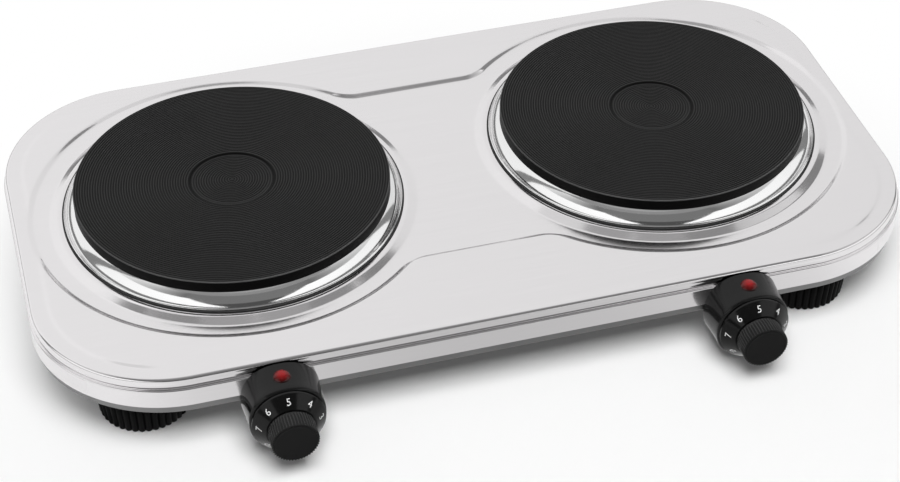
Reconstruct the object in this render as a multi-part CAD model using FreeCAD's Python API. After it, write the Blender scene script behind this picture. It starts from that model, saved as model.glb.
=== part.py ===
import FreeCAD, Part
import math
import os

V = FreeCAD.Vector

# Hot plates, in millimetres
PLATE_DIAMETER = 185.0
PLATE_SPACING = 260.0
PLATE_EDGE = 6.0
PLATE_CHAMFER = 1.2
PLATE_DEPTH = 19.6
PLATE_FLANGE = 6.0
PLATE_WALL = 6.5
IRON_THICKNESS = 8.0
PLATE_BOSS_RADIUS = 14.0
DIMPLE_RADIUS = 25.0
DIMPLE_DEPTH = 0.6
DIMPLE_SLOPE = 0.8

# Trim rings
RING_OVERHANG = 6.5
RING_HEIGHT = 9.5
RING_SHEET = 1.1
RING_SEAT = 4.5
RING_BULGE = 0.9
RING_LIP = 1.5
RING_TUCK = 2.4

# Top shell
SHEET = 0.8
RECESS_BAND = 11.0
RECESS_DEPTH = 2.0
RECESS_WAIST = 162.0
RECESS_CORNER = 15.0
RECESS_BACK = 1.5
SIDE_BORDER = 9.0
FRONT_BORDER = 24.5
REAR_BORDER = 11.5
CORNER_RADIUS = 78.0
LEDGE_WIDTH = 7.0
LEDGE_DROP = 0.8
RIM_HEIGHT = 6.7
RIM_ROUND = 2.0
SKIRT_STEP = 1.5
SKIRT_HEIGHT = 12.0
DOME_SHELF = 4.0
DOME_RUN = 5.0
DOME_HEIGHT = 2.5
OPENING_LAP = 5.0

# Base pan
PAN_SHEET = 0.8
PAN_SHOW = 4.5
PAN_GAP = 3.5
PAN_WALL = 9.5
PAN_ROUND = 3.0
VENT_COUNT = 9
VENT_PITCH = 8.0
VENT_WIDTH = 3.0
VENT_LENGTH = 80.0

# Feet, placed by their distance from the edges of the case
FOOT_HEIGHT = 23.0
FOOT_RADIUS = 27.0
FOOT_TAPER = 1.2
FOOT_ROUND = 1.5
FOOT_FLUTES = 40
FLUTE_RADIUS = 1.3
FOOT_SHOULDER = 9.0
FOOT_WELL_RADIUS = 6.5
LEFT_FOOT_INSET = 54.0
RIGHT_FOOT_INSET = 72.0
LEFT_FOOT_DEPTH = 38.0
RIGHT_FOOT_DEPTH = 31.0

# Heating elements and clamps
COVER_SHEET = 1.0
COIL_RADIUS = 60.0
COIL_TUBE = 2.5
PIN_RADIUS = 1.6
STUD_RADIUS = 4.0
STUD_ENGAGED = 10.0
STUD_TAIL = 1.5
BRIDGE_SHEET = 2.5
BRIDGE_WIDTH = 24.0
BRIDGE_DROP = 3.0
BRIDGE_LAP = 5.0
NUT_FLATS = 13.0
NUT_HEIGHT = 5.5
SHIELD_RADIUS = 80.0
SHIELD_HEIGHT = 4.5
SHIELD_SHEET = 0.6

# Control housings
KNOB_OFFSET = 4.0
KNOB_AXIS_HEIGHT = 23.5
HOUSING_DEPTH = 20.5
HOUSING_RADIUS = 21.3
HOUSING_FLARE = 1.7
FLARE_LENGTH = 9.0
HOUSING_ROUND = 1.5
HOUSING_WALL = 2.2
HOUSING_FLOOR = 18.5
COVER_PLATE = 2.0
WINDOW_WIDTH = 16.0
WINDOW_HEIGHT = 5.5
WINDOW_RISE = 9.5
BOSS_ANGLE = 30.0
BOSS_INSET = 3.4
BOSS_RADIUS = 3.2
BOSS_LENGTH = 7.0
BOSS_BITE = 6.0

# Indicator lamps
LENS_RADIUS = 5.5
LENS_RISE = 2.2
LENS_BACK = 9.0
LENS_STEM_RADIUS = 4.4
LENS_STEM = 6.5
LENS_FULLNESS = 0.25
LAMP_RADIUS = 2.6
LAMP_LENGTH = 6.0

# Thermostats and their shafts
THERMOSTAT_WIDTH = 23.0
THERMOSTAT_BELOW = 9.0
THERMOSTAT_CLEARANCE = 0.8
THERMOSTAT_DEPTH = 13.0
BUSHING_RADIUS = 4.5
BUSHING_PROUD = 3.4
BUSHING_SUNK = 5.0
THERMOSTAT_NUT_FLATS = 13.0
THERMOSTAT_NUT_HEIGHT = 2.4
SHAFT_RADIUS = 3.0
SHAFT_SUNK = 10.0
SHAFT_FLAT = 1.8
TAB_WIDTH = 4.0
TAB_SHEET = 0.8
TAB_LENGTH = 11.0
TAB_SPREAD = 5.0
TAB_RISE = 11.5

# Knobs
DIAL_RADIUS = 20.5
DIAL_RIM = 1.5
DIAL_BEVEL = 6.2
GRIP_RADIUS = 13.2
GRIP_LENGTH = 10.8
GRIP_FLUTES = 48
GRIP_FLUTE_RADIUS = 0.45
KNOB_HOLLOW_RADIUS = 9.5
KNOB_HOLLOW = 4.2
SHAFT_IN_KNOB = 13.5
CAP_RADIUS = 12.2
CAP_SHEET = 1.4
CAP_PROUD = 0.3

# Wiring, terminals and fasteners
WIRE_RADIUS = 1.3
WIRE_BEND = 12.0
SUPPLY_LANE = 10.0
NEUTRAL_LANE = 17.0
SUPPLY_CROSSING = 33.0
NEUTRAL_CROSSING = 40.0
BLOCK_LENGTH = 48.0
BLOCK_DEPTH = 18.0
BLOCK_HEIGHT = 18.0
BLOCK_INSET = 28.0
TERMINAL_RADIUS = 2.4
TERMINAL_DEPTH = 5.0
GLAND_RADIUS = 4.2
GLAND_BORE = 3.2
GLAND_FLANGE = 5.6
GLAND_PROUD = 3.0
GLAND_INSIDE = 10.0
GLAND_NUT_FLATS = 10.2
GLAND_NUT_HEIGHT = 2.0
EARTH_X = 45.0
EARTH_RADIUS = 2.0
EARTH_LENGTH = 11.0
STANDOFF_X = 62.0
STANDOFF_INSET = 19.0
STANDOFF_RADIUS = 4.0
SCREW_RADIUS = 2.0
SCREW_HEAD_RADIUS = 3.8
SCREW_HEAD = 2.2
SCREW_GRIP = 9.0
SMALL_SCREW_RADIUS = 1.5
SMALL_HEAD_RADIUS = 2.9
SMALL_HEAD = 1.8
SMALL_NUT_FLATS = 7.0
SMALL_NUT_HEIGHT = 3.0

# Clearances
FIT_GAP = 0.1
HOLE_GAP = 0.2
RUN_GAP = 0.04
KNOB_GAP = 0.5
CUT = 5.0

# Sizes that follow, seen from above
PLATE_RADIUS = PLATE_DIAMETER / 2
RING_RADIUS = PLATE_RADIUS + RING_OVERHANG
DOME_TOP_RADIUS = RING_RADIUS + DOME_SHELF
DOME_BASE_RADIUS = DOME_TOP_RADIUS + DOME_RUN
RECESS_RADIUS = DOME_BASE_RADIUS + RECESS_BAND
OPENING_RADIUS = RING_RADIUS - OPENING_LAP
BODY_LENGTH = PLATE_SPACING + 2 * (RECESS_RADIUS + SIDE_BORDER)
BODY_DEPTH = 2 * RECESS_RADIUS + FRONT_BORDER + REAR_BORDER
RECESS_Y = FRONT_BORDER + RECESS_RADIUS - BODY_DEPTH / 2
PLATE_Y = RECESS_Y - RECESS_BACK
PLATE_X = PLATE_SPACING / 2
KNOB_X = PLATE_X + KNOB_OFFSET
PIN_SPREAD = KNOB_OFFSET + TAB_SPREAD
SKIRT_FRONT = -BODY_DEPTH / 2 - SKIRT_STEP
SKIRT_REAR = -SKIRT_FRONT
PAN_LENGTH = BODY_LENGTH + 2 * (SKIRT_STEP - SHEET - PAN_GAP)
PAN_DEPTH = BODY_DEPTH + 2 * (SKIRT_STEP - SHEET - PAN_GAP)
PAN_CORNER = CORNER_RADIUS + SKIRT_STEP - SHEET - PAN_GAP

# Sizes that follow, across a control housing
BOSS_SPREAD = (HOUSING_RADIUS - BOSS_INSET) * math.cos(math.radians(BOSS_ANGLE))
BOSS_RISE = (HOUSING_RADIUS - BOSS_INSET) * math.sin(math.radians(BOSS_ANGLE))
THERMOSTAT_ABOVE = HOUSING_RADIUS - LENS_STEM - THERMOSTAT_CLEARANCE

# Levels above the table
PAN_FLOOR = FOOT_HEIGHT + PAN_SHEET
SKIRT_BOTTOM = FOOT_HEIGHT + PAN_SHOW
SKIRT_TOP = SKIRT_BOTTOM + SKIRT_HEIGHT
LEDGE_LEVEL = SKIRT_TOP + RIM_HEIGHT
TOP_LEVEL = LEDGE_LEVEL + LEDGE_DROP
RECESS_LEVEL = TOP_LEVEL - RECESS_DEPTH
DOME_LEVEL = RECESS_LEVEL + DOME_HEIGHT
SEAT_LEVEL = DOME_LEVEL + RING_HEIGHT
PLATE_TOP = SEAT_LEVEL + PLATE_EDGE
PLATE_BOTTOM = PLATE_TOP - PLATE_DEPTH
GROOVE_ROOF = PLATE_TOP - IRON_THICKNESS
GROOVE_RADIUS = PLATE_RADIUS - PLATE_FLANGE - PLATE_WALL
COVER_TOP = PLATE_BOTTOM + COVER_SHEET
COIL_LEVEL = COVER_TOP + FIT_GAP + COIL_TUBE
BRIDGE_TOP = PLATE_BOTTOM - BRIDGE_DROP
BRIDGE_BOTTOM = BRIDGE_TOP - BRIDGE_SHEET
TAB_LEVEL = KNOB_AXIS_HEIGHT + TAB_RISE
GLAND_LEVEL = (SKIRT_BOTTOM + SKIRT_TOP) / 2

# Distances out from the skirt along each knob's axis
HOUSING_FACE = HOUSING_DEPTH
HOUSING_INSIDE = HOUSING_FACE - HOUSING_WALL
DIAL_BACK = HOUSING_FACE + KNOB_GAP
GRIP_START = DIAL_BACK + DIAL_RIM + DIAL_BEVEL
GRIP_END = GRIP_START + GRIP_LENGTH
THERMOSTAT_BACK = HOUSING_INSIDE - THERMOSTAT_DEPTH
KNOB_REACH = GRIP_END + CAP_PROUD

# Shift that centres the whole object, knobs and gland included, on the origin
CENTRE_SHIFT = (KNOB_REACH - GLAND_PROUD) / 2

SIDES = (("left", -1), ("right", 1))

# Middle of a quarter circle of radius one, along either axis
QUARTER = math.sqrt(0.5)


def rounded_block(length, depth, corner, low, high):
    """Upright block with rounded corners, centred on the case."""
    block = Part.makeBox(length, depth, high - low, V(-length / 2, -depth / 2, low))
    uprights = [edge for edge in block.Edges if abs(edge.tangentAt(edge.FirstParameter).z) > 0.9]
    return block.makeFillet(corner, uprights)


def edges_at(shape, level):
    """Edges that lie wholly in the level plane at the given height."""
    return [
        edge
        for edge in shape.Edges
        if abs(edge.BoundBox.ZMin - level) < 1e-4 and abs(edge.BoundBox.ZMax - level) < 1e-4
    ]


def turned(start, *steps):
    """Solid turned about the Z axis; a step is a point (radius, height) or an arc (mid point, end point)."""
    here = V(start[0], 0, start[1])
    first = here
    edges = []
    for step in steps:
        if isinstance(step[0], tuple):
            middle = V(step[0][0], 0, step[0][1])
            end = V(step[1][0], 0, step[1][1])
            edges.append(Part.Arc(here, middle, end).toShape())
        else:
            end = V(step[0], 0, step[1])
            edges.append(Part.LineSegment(here, end).toShape())
        here = end
    edges.append(Part.LineSegment(here, first).toShape())
    return Part.Face(Part.Wire(edges)).revolve(V(0, 0, 0), V(0, 0, 1), 360)


def tube(inner, outer, low, high):
    """Plain upright tube on the Z axis, solid where the inner radius is zero."""
    wall = Part.makeCylinder(outer, high - low, V(0, 0, low))
    if inner > 0:
        wall = wall.cut(Part.makeCylinder(inner, high - low, V(0, 0, low)))
    return wall


def hexagon(flats, low, high, bore):
    """Hexagon nut on the Z axis with a plain bore."""
    reach = flats / math.sqrt(3)
    corners = [
        V(reach * math.cos(math.radians(60 * i)), reach * math.sin(math.radians(60 * i)), low)
        for i in range(7)
    ]
    nut = Part.Face(Part.makePolygon(corners)).extrude(V(0, 0, high - low))
    return nut.cut(Part.makeCylinder(bore, high - low, V(0, 0, low)))


def placed(shape, x, y, z=0.0):
    """The shape moved by the given distances."""
    moved = shape.copy()
    moved.translate(V(x, y, z))
    return moved


def facing_front(shape, x, z):
    """Turns a shape's Z axis towards the user and starts it on the skirt's face."""
    moved = shape.copy()
    moved.rotate(V(0, 0, 0), V(1, 0, 0), 90)
    moved.translate(V(x, SKIRT_FRONT, z))
    return moved


def on_knob(shape, side):
    """Places a shape that was made along a knob's axis."""
    return facing_front(shape, side * KNOB_X, KNOB_AXIS_HEIGHT)


def on_plate(shape, side):
    """Places a shape that was made about a plate's axis."""
    return placed(shape, side * PLATE_X, PLATE_Y)


def recess_block(growth, low, high):
    """Figure-eight block: two discs and the bridge between them."""
    radius = RECESS_RADIUS + growth
    waist = RECESS_WAIST + 2 * growth
    block = Part.makeBox(
        PLATE_SPACING, waist, high - low, V(-PLATE_X, RECESS_Y - waist / 2, low)
    )
    for _, side in SIDES:
        disc = Part.makeCylinder(radius, high - low, V(side * PLATE_X, RECESS_Y, low))
        block = block.fuse(disc)
    block = block.removeSplitter()
    inner_x = PLATE_X - math.sqrt(radius**2 - waist**2 / 4)
    corners = [
        edge
        for edge in block.Edges
        if edge.BoundBox.ZLength > 0.9 * (high - low)
        and abs(abs(edge.BoundBox.Center.x) - inner_x) < 0.01
    ]
    return block.makeFillet(RECESS_CORNER - growth, corners)


def shell_form(inset):
    """Outer form of the top shell, or the form inside its sheet where an inset is given."""
    low = SKIRT_BOTTOM - (CUT if inset else 0.0)
    rim = rounded_block(
        BODY_LENGTH - 2 * inset, BODY_DEPTH - 2 * inset, CORNER_RADIUS - inset, low, LEDGE_LEVEL - inset
    )
    rim = rim.makeFillet(RIM_ROUND - inset, edges_at(rim, LEDGE_LEVEL - inset))
    step = SKIRT_STEP - inset
    skirt = rounded_block(
        BODY_LENGTH + 2 * step, BODY_DEPTH + 2 * step, CORNER_RADIUS + step, low, SKIRT_TOP - inset
    )
    ledge = LEDGE_WIDTH + inset
    platform = rounded_block(
        BODY_LENGTH - 2 * ledge, BODY_DEPTH - 2 * ledge, CORNER_RADIUS - ledge, low, TOP_LEVEL - inset
    )
    form = rim.fuse([skirt, platform])
    form = form.cut(recess_block(inset, RECESS_LEVEL - inset, TOP_LEVEL + CUT))
    slope = math.atan2(DOME_HEIGHT, DOME_RUN)
    back = inset / math.sin(slope) - inset / math.tan(slope)
    for _, side in SIDES:
        dome = Part.makeCone(
            DOME_BASE_RADIUS - back, DOME_TOP_RADIUS - back, DOME_HEIGHT, V(0, 0, RECESS_LEVEL - inset)
        )
        form = form.fuse(on_plate(dome, side))
    return form


def front_holes(near, far):
    """Wire windows and screw holes of both controls, cut between two distances out from the skirt."""
    holes = []
    for _, side in SIDES:
        window = Part.makeBox(
            WINDOW_WIDTH, WINDOW_HEIGHT, far - near, V(-WINDOW_WIDTH / 2, WINDOW_RISE, near)
        )
        holes.append(on_knob(window, side))
        for x in (-BOSS_SPREAD, BOSS_SPREAD):
            hole = Part.makeCylinder(SMALL_SCREW_RADIUS + HOLE_GAP, far - near, V(x, BOSS_RISE, near))
            holes.append(on_knob(hole, side))
    return holes


def top_shell():
    """Pressed sheet: rim, skirt, recess, domes and plate openings."""
    shell = shell_form(0.0).cut(shell_form(SHEET))
    openings = [on_plate(tube(0, OPENING_RADIUS, 0, PLATE_TOP), side) for _, side in SIDES]
    gland = Part.makeCylinder(
        GLAND_RADIUS + HOLE_GAP, 2 * CUT, V(0, SKIRT_REAR - CUT, GLAND_LEVEL), V(0, 1, 0)
    )
    return shell.cut(openings + front_holes(-SHEET - FIT_GAP, FIT_GAP) + [gland])


def base_pan():
    """Shallow tray under the shell with vents and holes for the feet, screws and gland."""
    outer = rounded_block(PAN_LENGTH, PAN_DEPTH, PAN_CORNER, FOOT_HEIGHT, FOOT_HEIGHT + PAN_WALL)
    outer = outer.makeFillet(PAN_ROUND, edges_at(outer, FOOT_HEIGHT))
    inner = rounded_block(
        PAN_LENGTH - 2 * PAN_SHEET,
        PAN_DEPTH - 2 * PAN_SHEET,
        PAN_CORNER - PAN_SHEET,
        PAN_FLOOR,
        FOOT_HEIGHT + PAN_WALL + CUT,
    )
    inner = inner.makeFillet(PAN_ROUND - PAN_SHEET, edges_at(inner, PAN_FLOOR))
    holes = []
    for i in range(VENT_COUNT):
        x = (i - (VENT_COUNT - 1) / 2) * VENT_PITCH
        slot = Part.makeBox(VENT_WIDTH, VENT_LENGTH, 2 * CUT, V(x - VENT_WIDTH / 2, -VENT_LENGTH / 2, 0))
        holes.append(placed(slot, 0, PLATE_Y, FOOT_HEIGHT - CUT))
    for x, y in foot_places() + standoff_places():
        holes.append(Part.makeCylinder(SCREW_RADIUS + HOLE_GAP, 2 * CUT, V(x, y, FOOT_HEIGHT - CUT)))
    notch_width = 2 * (GLAND_RADIUS + PAN_GAP)
    notch_floor = GLAND_LEVEL - GLAND_RADIUS - PAN_GAP / 2
    notch = Part.makeBox(
        notch_width, 2 * CUT + PAN_GAP, PAN_WALL, V(-notch_width / 2, PAN_DEPTH / 2 - CUT, notch_floor)
    )
    return outer.cut(inner).cut(holes + [notch])


def foot_places():
    """Centres of the four feet: front left, front right, rear left, rear right."""
    left = -BODY_LENGTH / 2 + LEFT_FOOT_INSET
    right = BODY_LENGTH / 2 - RIGHT_FOOT_INSET
    left_y = BODY_DEPTH / 2 - LEFT_FOOT_DEPTH
    right_y = BODY_DEPTH / 2 - RIGHT_FOOT_DEPTH
    return [(left, -left_y), (right, -right_y), (left, left_y), (right, right_y)]


def standoff_places():
    """Centres of the four standoffs between shell and pan."""
    y = BODY_DEPTH / 2 - STANDOFF_INSET
    return [(x, side * y) for side in (-1, 1) for x in (-STANDOFF_X, STANDOFF_X)]


def foot():
    """Round rubber foot with upright flutes and a well for its screw."""
    bottom = FOOT_RADIUS - FOOT_TAPER
    body = turned(
        (0, 0),
        (bottom - FOOT_ROUND, 0),
        (bottom, FOOT_ROUND),
        (FOOT_RADIUS, FOOT_HEIGHT),
        (0, FOOT_HEIGHT),
    )
    flutes = []
    for i in range(FOOT_FLUTES):
        angle = 2 * math.pi * i / FOOT_FLUTES
        centre = V(FOOT_RADIUS * math.cos(angle), FOOT_RADIUS * math.sin(angle), -CUT)
        flutes.append(Part.makeCylinder(FLUTE_RADIUS, FOOT_HEIGHT + 2 * CUT, centre))
    shoulder = FOOT_HEIGHT - FOOT_SHOULDER
    well = tube(0, FOOT_WELL_RADIUS, -CUT, shoulder)
    hole = tube(0, SCREW_RADIUS + HOLE_GAP, 0, FOOT_HEIGHT + CUT)
    return body.cut(flutes + [well, hole])


def screw(radius, head_radius, head, length):
    """Screw pointing up, with its head's underside at zero."""
    return turned(
        (0, -head),
        (head_radius - head / 3, -head),
        (head_radius, -head / 2),
        (head_radius, 0),
        (radius, 0),
        (radius, length),
        (0, length),
    )


def foot_screws():
    """One screw up through each foot and the pan into a nut."""
    length = FOOT_SHOULDER + PAN_SHEET + SMALL_NUT_HEIGHT + SCREW_HEAD / 2
    one = screw(SCREW_RADIUS, SCREW_HEAD_RADIUS, SCREW_HEAD, length)
    return Part.makeCompound([placed(one, x, y, FOOT_HEIGHT - FOOT_SHOULDER) for x, y in foot_places()])


def foot_nuts():
    """Nuts on the pan's floor that hold the feet."""
    one = hexagon(SMALL_NUT_FLATS, PAN_FLOOR, PAN_FLOOR + SMALL_NUT_HEIGHT, SCREW_RADIUS + FIT_GAP)
    return Part.makeCompound([placed(one, x, y) for x, y in foot_places()])


def standoffs():
    """Threaded posts from the pan's floor up to the shell's underside."""
    one = tube(0, STANDOFF_RADIUS, PAN_FLOOR, TOP_LEVEL - SHEET)
    one = one.cut(tube(0, SCREW_RADIUS + FIT_GAP, PAN_FLOOR, PAN_FLOOR + SCREW_GRIP + CUT))
    return Part.makeCompound([placed(one, x, y) for x, y in standoff_places()])


def base_screws():
    """Screws that hold the pan to the standoffs."""
    one = screw(SCREW_RADIUS, SCREW_HEAD_RADIUS, SCREW_HEAD, PAN_SHEET + SCREW_GRIP)
    return Part.makeCompound([placed(one, x, y, FOOT_HEIGHT) for x, y in standoff_places()])


def hot_plate():
    """Cast-iron plate: flanged disc, dimple on top, ring groove and centre boss below."""
    body = PLATE_RADIUS - PLATE_FLANGE
    plate = turned(
        (0, PLATE_TOP - DIMPLE_DEPTH),
        (DIMPLE_RADIUS - DIMPLE_SLOPE, PLATE_TOP - DIMPLE_DEPTH),
        (DIMPLE_RADIUS, PLATE_TOP),
        (PLATE_RADIUS - PLATE_CHAMFER, PLATE_TOP),
        (PLATE_RADIUS, PLATE_TOP - PLATE_CHAMFER),
        (PLATE_RADIUS, SEAT_LEVEL),
        (body, SEAT_LEVEL),
        (body, PLATE_BOTTOM),
        (GROOVE_RADIUS, PLATE_BOTTOM),
        (GROOVE_RADIUS, GROOVE_ROOF),
        (PLATE_BOSS_RADIUS, GROOVE_ROOF),
        (PLATE_BOSS_RADIUS, PLATE_BOTTOM),
        (0, PLATE_BOTTOM),
    )
    return plate.cut(tube(0, STUD_RADIUS + FIT_GAP, PLATE_BOTTOM - CUT, PLATE_BOTTOM + STUD_ENGAGED))


def trim_ring():
    """Convex pressed ring that carries the plate, with a lip clear of the shell's dome and a foot on it."""
    inner = PLATE_RADIUS - RING_SEAT
    crown = PLATE_RADIUS + RING_SHEET / 2
    lip = DOME_LEVEL + RING_LIP
    foot = RING_RADIUS - RING_TUCK
    middle_r = (crown + RING_RADIUS) / 2 + RING_BULGE
    middle_z = (SEAT_LEVEL + lip) / 2 + RING_BULGE
    return turned(
        (inner, SEAT_LEVEL),
        (crown, SEAT_LEVEL),
        ((middle_r, middle_z), (RING_RADIUS, lip)),
        (RING_RADIUS - RING_SHEET / 3, lip - RING_SHEET / 3),
        (foot, DOME_LEVEL),
        (foot - RING_SHEET, DOME_LEVEL),
        ((middle_r - RING_SHEET, middle_z - RING_SHEET), (crown - RING_SHEET, SEAT_LEVEL - RING_SHEET)),
        (inner, SEAT_LEVEL - RING_SHEET),
    )


def coil_path(tube_radius):
    """Open ring tube of a heating element, with its gap at the front."""
    half_gap = math.degrees(math.asin(PIN_SPREAD / COIL_RADIUS))
    sweep = 360 - 2 * half_gap
    ring = Part.makeTorus(COIL_RADIUS, tube_radius, V(0, 0, COIL_LEVEL), V(0, 0, 1), 0, 360, sweep)
    ring.rotate(V(0, 0, 0), V(0, 0, 1), -90 + half_gap)
    return ring


def pin_places():
    """Pin centres of a heating coil, about the plate's axis."""
    y = -math.sqrt(COIL_RADIUS**2 - PIN_SPREAD**2)
    return [(-PIN_SPREAD, y), (PIN_SPREAD, y)]


def heating_coil():
    """Ring tube with two pins that come down through the element cover."""
    coil = coil_path(COIL_TUBE)
    pins = [
        placed(tube(0, PIN_RADIUS, TAB_LEVEL + WIRE_RADIUS, COIL_LEVEL), x, y) for x, y in pin_places()
    ]
    return coil.fuse(pins)


def insulation():
    """Ceramic ring that fills the plate's groove above the coil."""
    ring = tube(PLATE_BOSS_RADIUS + FIT_GAP, GROOVE_RADIUS - FIT_GAP, COIL_LEVEL, GROOVE_ROOF)
    return ring.cut(coil_path(COIL_TUBE + FIT_GAP))


def element_cover():
    """Disc that closes the plate's groove, with a hole for each coil pin."""
    disc = tube(PLATE_BOSS_RADIUS + FIT_GAP, GROOVE_RADIUS - FIT_GAP, PLATE_BOTTOM, COVER_TOP)
    holes = [placed(tube(0, PIN_RADIUS + FIT_GAP, PLATE_BOTTOM, COVER_TOP), x, y) for x, y in pin_places()]
    return disc.cut(holes)


def clamp_bridge():
    """Cranked strap that pulls the plate down onto ring and shell."""
    tip = OPENING_RADIUS + BRIDGE_LAP
    shell_under = DOME_LEVEL - SHEET
    knee = PLATE_RADIUS - PLATE_FLANGE + BRIDGE_SHEET
    top = [
        (-tip, shell_under),
        (-OPENING_RADIUS, shell_under),
        (-knee, BRIDGE_TOP),
        (knee, BRIDGE_TOP),
        (OPENING_RADIUS, shell_under),
        (tip, shell_under),
    ]
    outline = [V(x, -BRIDGE_WIDTH / 2, z) for x, z in top]
    outline += [V(x, -BRIDGE_WIDTH / 2, z - BRIDGE_SHEET) for x, z in reversed(top)]
    strap = Part.Face(Part.makePolygon(outline + outline[:1])).extrude(V(0, BRIDGE_WIDTH, 0))
    return strap.cut(tube(0, STUD_RADIUS + HOLE_GAP, 0, PLATE_TOP))


def plate_stud():
    """Stud screwed into the plate's boss."""
    low = BRIDGE_BOTTOM - NUT_HEIGHT - STUD_TAIL
    return tube(0, STUD_RADIUS, low, PLATE_BOTTOM + STUD_ENGAGED)


def stud_nuts():
    """Nuts that tighten the bridges."""
    one = hexagon(NUT_FLATS, BRIDGE_BOTTOM - NUT_HEIGHT, BRIDGE_BOTTOM, STUD_RADIUS + FIT_GAP)
    return Part.makeCompound([on_plate(one, side) for _, side in SIDES])


def heat_shield():
    """Upturned dish on the pan's floor below the plate."""
    top = PAN_FLOOR + SHIELD_HEIGHT
    dish = tube(0, SHIELD_RADIUS, PAN_FLOOR, top)
    return dish.cut(tube(0, SHIELD_RADIUS - SHIELD_SHEET, PAN_FLOOR, top - SHIELD_SHEET))


def housing_form(inset):
    """Flared barrel of a control housing along the knob's axis, with a flat underside."""
    radius = HOUSING_RADIUS - inset
    flare = radius + HOUSING_FLARE
    bend = FLARE_LENGTH / 2
    face = HOUSING_FACE - inset
    edge = HOUSING_ROUND - min(inset, HOUSING_ROUND / 2)
    barrel = turned(
        (0, 0),
        (flare, 0),
        ((radius + HOUSING_FLARE / 4, bend), (radius, FLARE_LENGTH)),
        (radius, face - edge),
        ((radius - edge * (1 - QUARTER), face - edge * (1 - QUARTER)), (radius - edge, face)),
        (0, face),
    )
    floor = HOUSING_FLOOR - inset
    below = Part.makeBox(4 * radius, 2 * radius, 2 * face, V(-2 * radius, -floor - 2 * radius, -CUT))
    return barrel.cut(below)


def control_housing():
    """Hollow housing with screw bosses, a lens hole, a bushing hole and a lip behind the skirt's step."""
    lip_low = SKIRT_TOP + FIT_GAP - KNOB_AXIS_HEIGHT
    flare = HOUSING_RADIUS + HOUSING_FLARE
    lip = tube(0, flare, -SKIRT_STEP + FIT_GAP, 0)
    lip = lip.cut(Part.makeBox(4 * flare, 2 * flare, 4 * CUT, V(-2 * flare, lip_low - 2 * flare, -2 * CUT)))
    bosses = [
        placed(tube(0, BOSS_RADIUS, COVER_PLATE, COVER_PLATE + BOSS_LENGTH), x, BOSS_RISE)
        for x in (-BOSS_SPREAD, BOSS_SPREAD)
    ]
    outer = housing_form(0.0)
    bosses = [boss.common(outer) for boss in bosses]
    pilots = [
        placed(tube(0, SMALL_SCREW_RADIUS + FIT_GAP, 0, COVER_PLATE + BOSS_LENGTH), x, BOSS_RISE)
        for x in (-BOSS_SPREAD, BOSS_SPREAD)
    ]
    cavity = housing_form(HOUSING_WALL)
    bushing = tube(0, BUSHING_RADIUS + FIT_GAP, 0, HOUSING_FACE + CUT)
    lens = Part.makeCylinder(LENS_STEM_RADIUS + FIT_GAP, 2 * flare, V(0, 0, LENS_BACK), V(0, 1, 0))
    return outer.fuse(lip).cut(cavity).fuse(bosses).cut(pilots + [bushing, lens])


def housing_cover():
    """Plate that closes the back of a control housing."""
    plate = housing_form(HOUSING_WALL + FIT_GAP).common(tube(0, 2 * HOUSING_RADIUS, 0, COVER_PLATE))
    window = Part.makeBox(
        WINDOW_WIDTH, WINDOW_HEIGHT, COVER_PLATE, V(-WINDOW_WIDTH / 2, WINDOW_RISE, 0)
    )
    holes = [
        placed(tube(0, SMALL_SCREW_RADIUS + HOLE_GAP, 0, COVER_PLATE), x, BOSS_RISE)
        for x in (-BOSS_SPREAD, BOSS_SPREAD)
    ]
    return plate.cut(holes + [window])


def housing_screws():
    """Screws through the skirt and the cover into the housings' bosses."""
    one = screw(SMALL_SCREW_RADIUS, SMALL_HEAD_RADIUS, SMALL_HEAD, SHEET + COVER_PLATE + BOSS_BITE)
    places = [(side, x) for _, side in SIDES for x in (-BOSS_SPREAD, BOSS_SPREAD)]
    return Part.makeCompound([on_knob(placed(one, x, BOSS_RISE, -SHEET), side) for side, x in places])


def indicator_lens():
    """Domed lens on the housing with a hollow stem for the lamp."""
    seat = HOUSING_RADIUS
    rim = seat - LENS_RADIUS**2 / (2 * HOUSING_RADIUS)
    stem_end = seat - LENS_STEM
    bulge = LENS_FULLNESS * LENS_RISE
    lens = turned(
        (0, seat + LENS_RISE),
        ((LENS_RADIUS / 2 + bulge, seat + LENS_RISE / 2 + bulge), (LENS_RADIUS, seat)),
        (LENS_RADIUS, rim),
        (LENS_STEM_RADIUS, rim),
        (LENS_STEM_RADIUS, stem_end),
        (LAMP_RADIUS + FIT_GAP, stem_end),
        (LAMP_RADIUS + FIT_GAP, seat - FIT_GAP),
        (0, seat - FIT_GAP),
    )
    lens.rotate(V(0, 0, 0), V(1, 0, 0), -90)
    lens.translate(V(0, 0, LENS_BACK))
    return lens.cut(housing_form(0.0).cut(housing_form(HOUSING_WALL)).cut(lens_stem()))


def lens_stem():
    """Space that a lens stem takes in its housing."""
    return Part.makeCylinder(LENS_STEM_RADIUS + FIT_GAP, 2 * HOUSING_RADIUS, V(0, 0, LENS_BACK), V(0, 1, 0))


def neon_lamp():
    """Glow lamp inside the lens stem."""
    top = HOUSING_RADIUS - FIT_GAP
    lamp = turned(
        (0, top),
        ((LAMP_RADIUS * QUARTER, top - LAMP_RADIUS * (1 - QUARTER)), (LAMP_RADIUS, top - LAMP_RADIUS)),
        (LAMP_RADIUS, top - LAMP_LENGTH),
        (0, top - LAMP_LENGTH),
    )
    lamp.rotate(V(0, 0, 0), V(1, 0, 0), -90)
    lamp.translate(V(0, 0, LENS_BACK))
    return lamp


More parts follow.
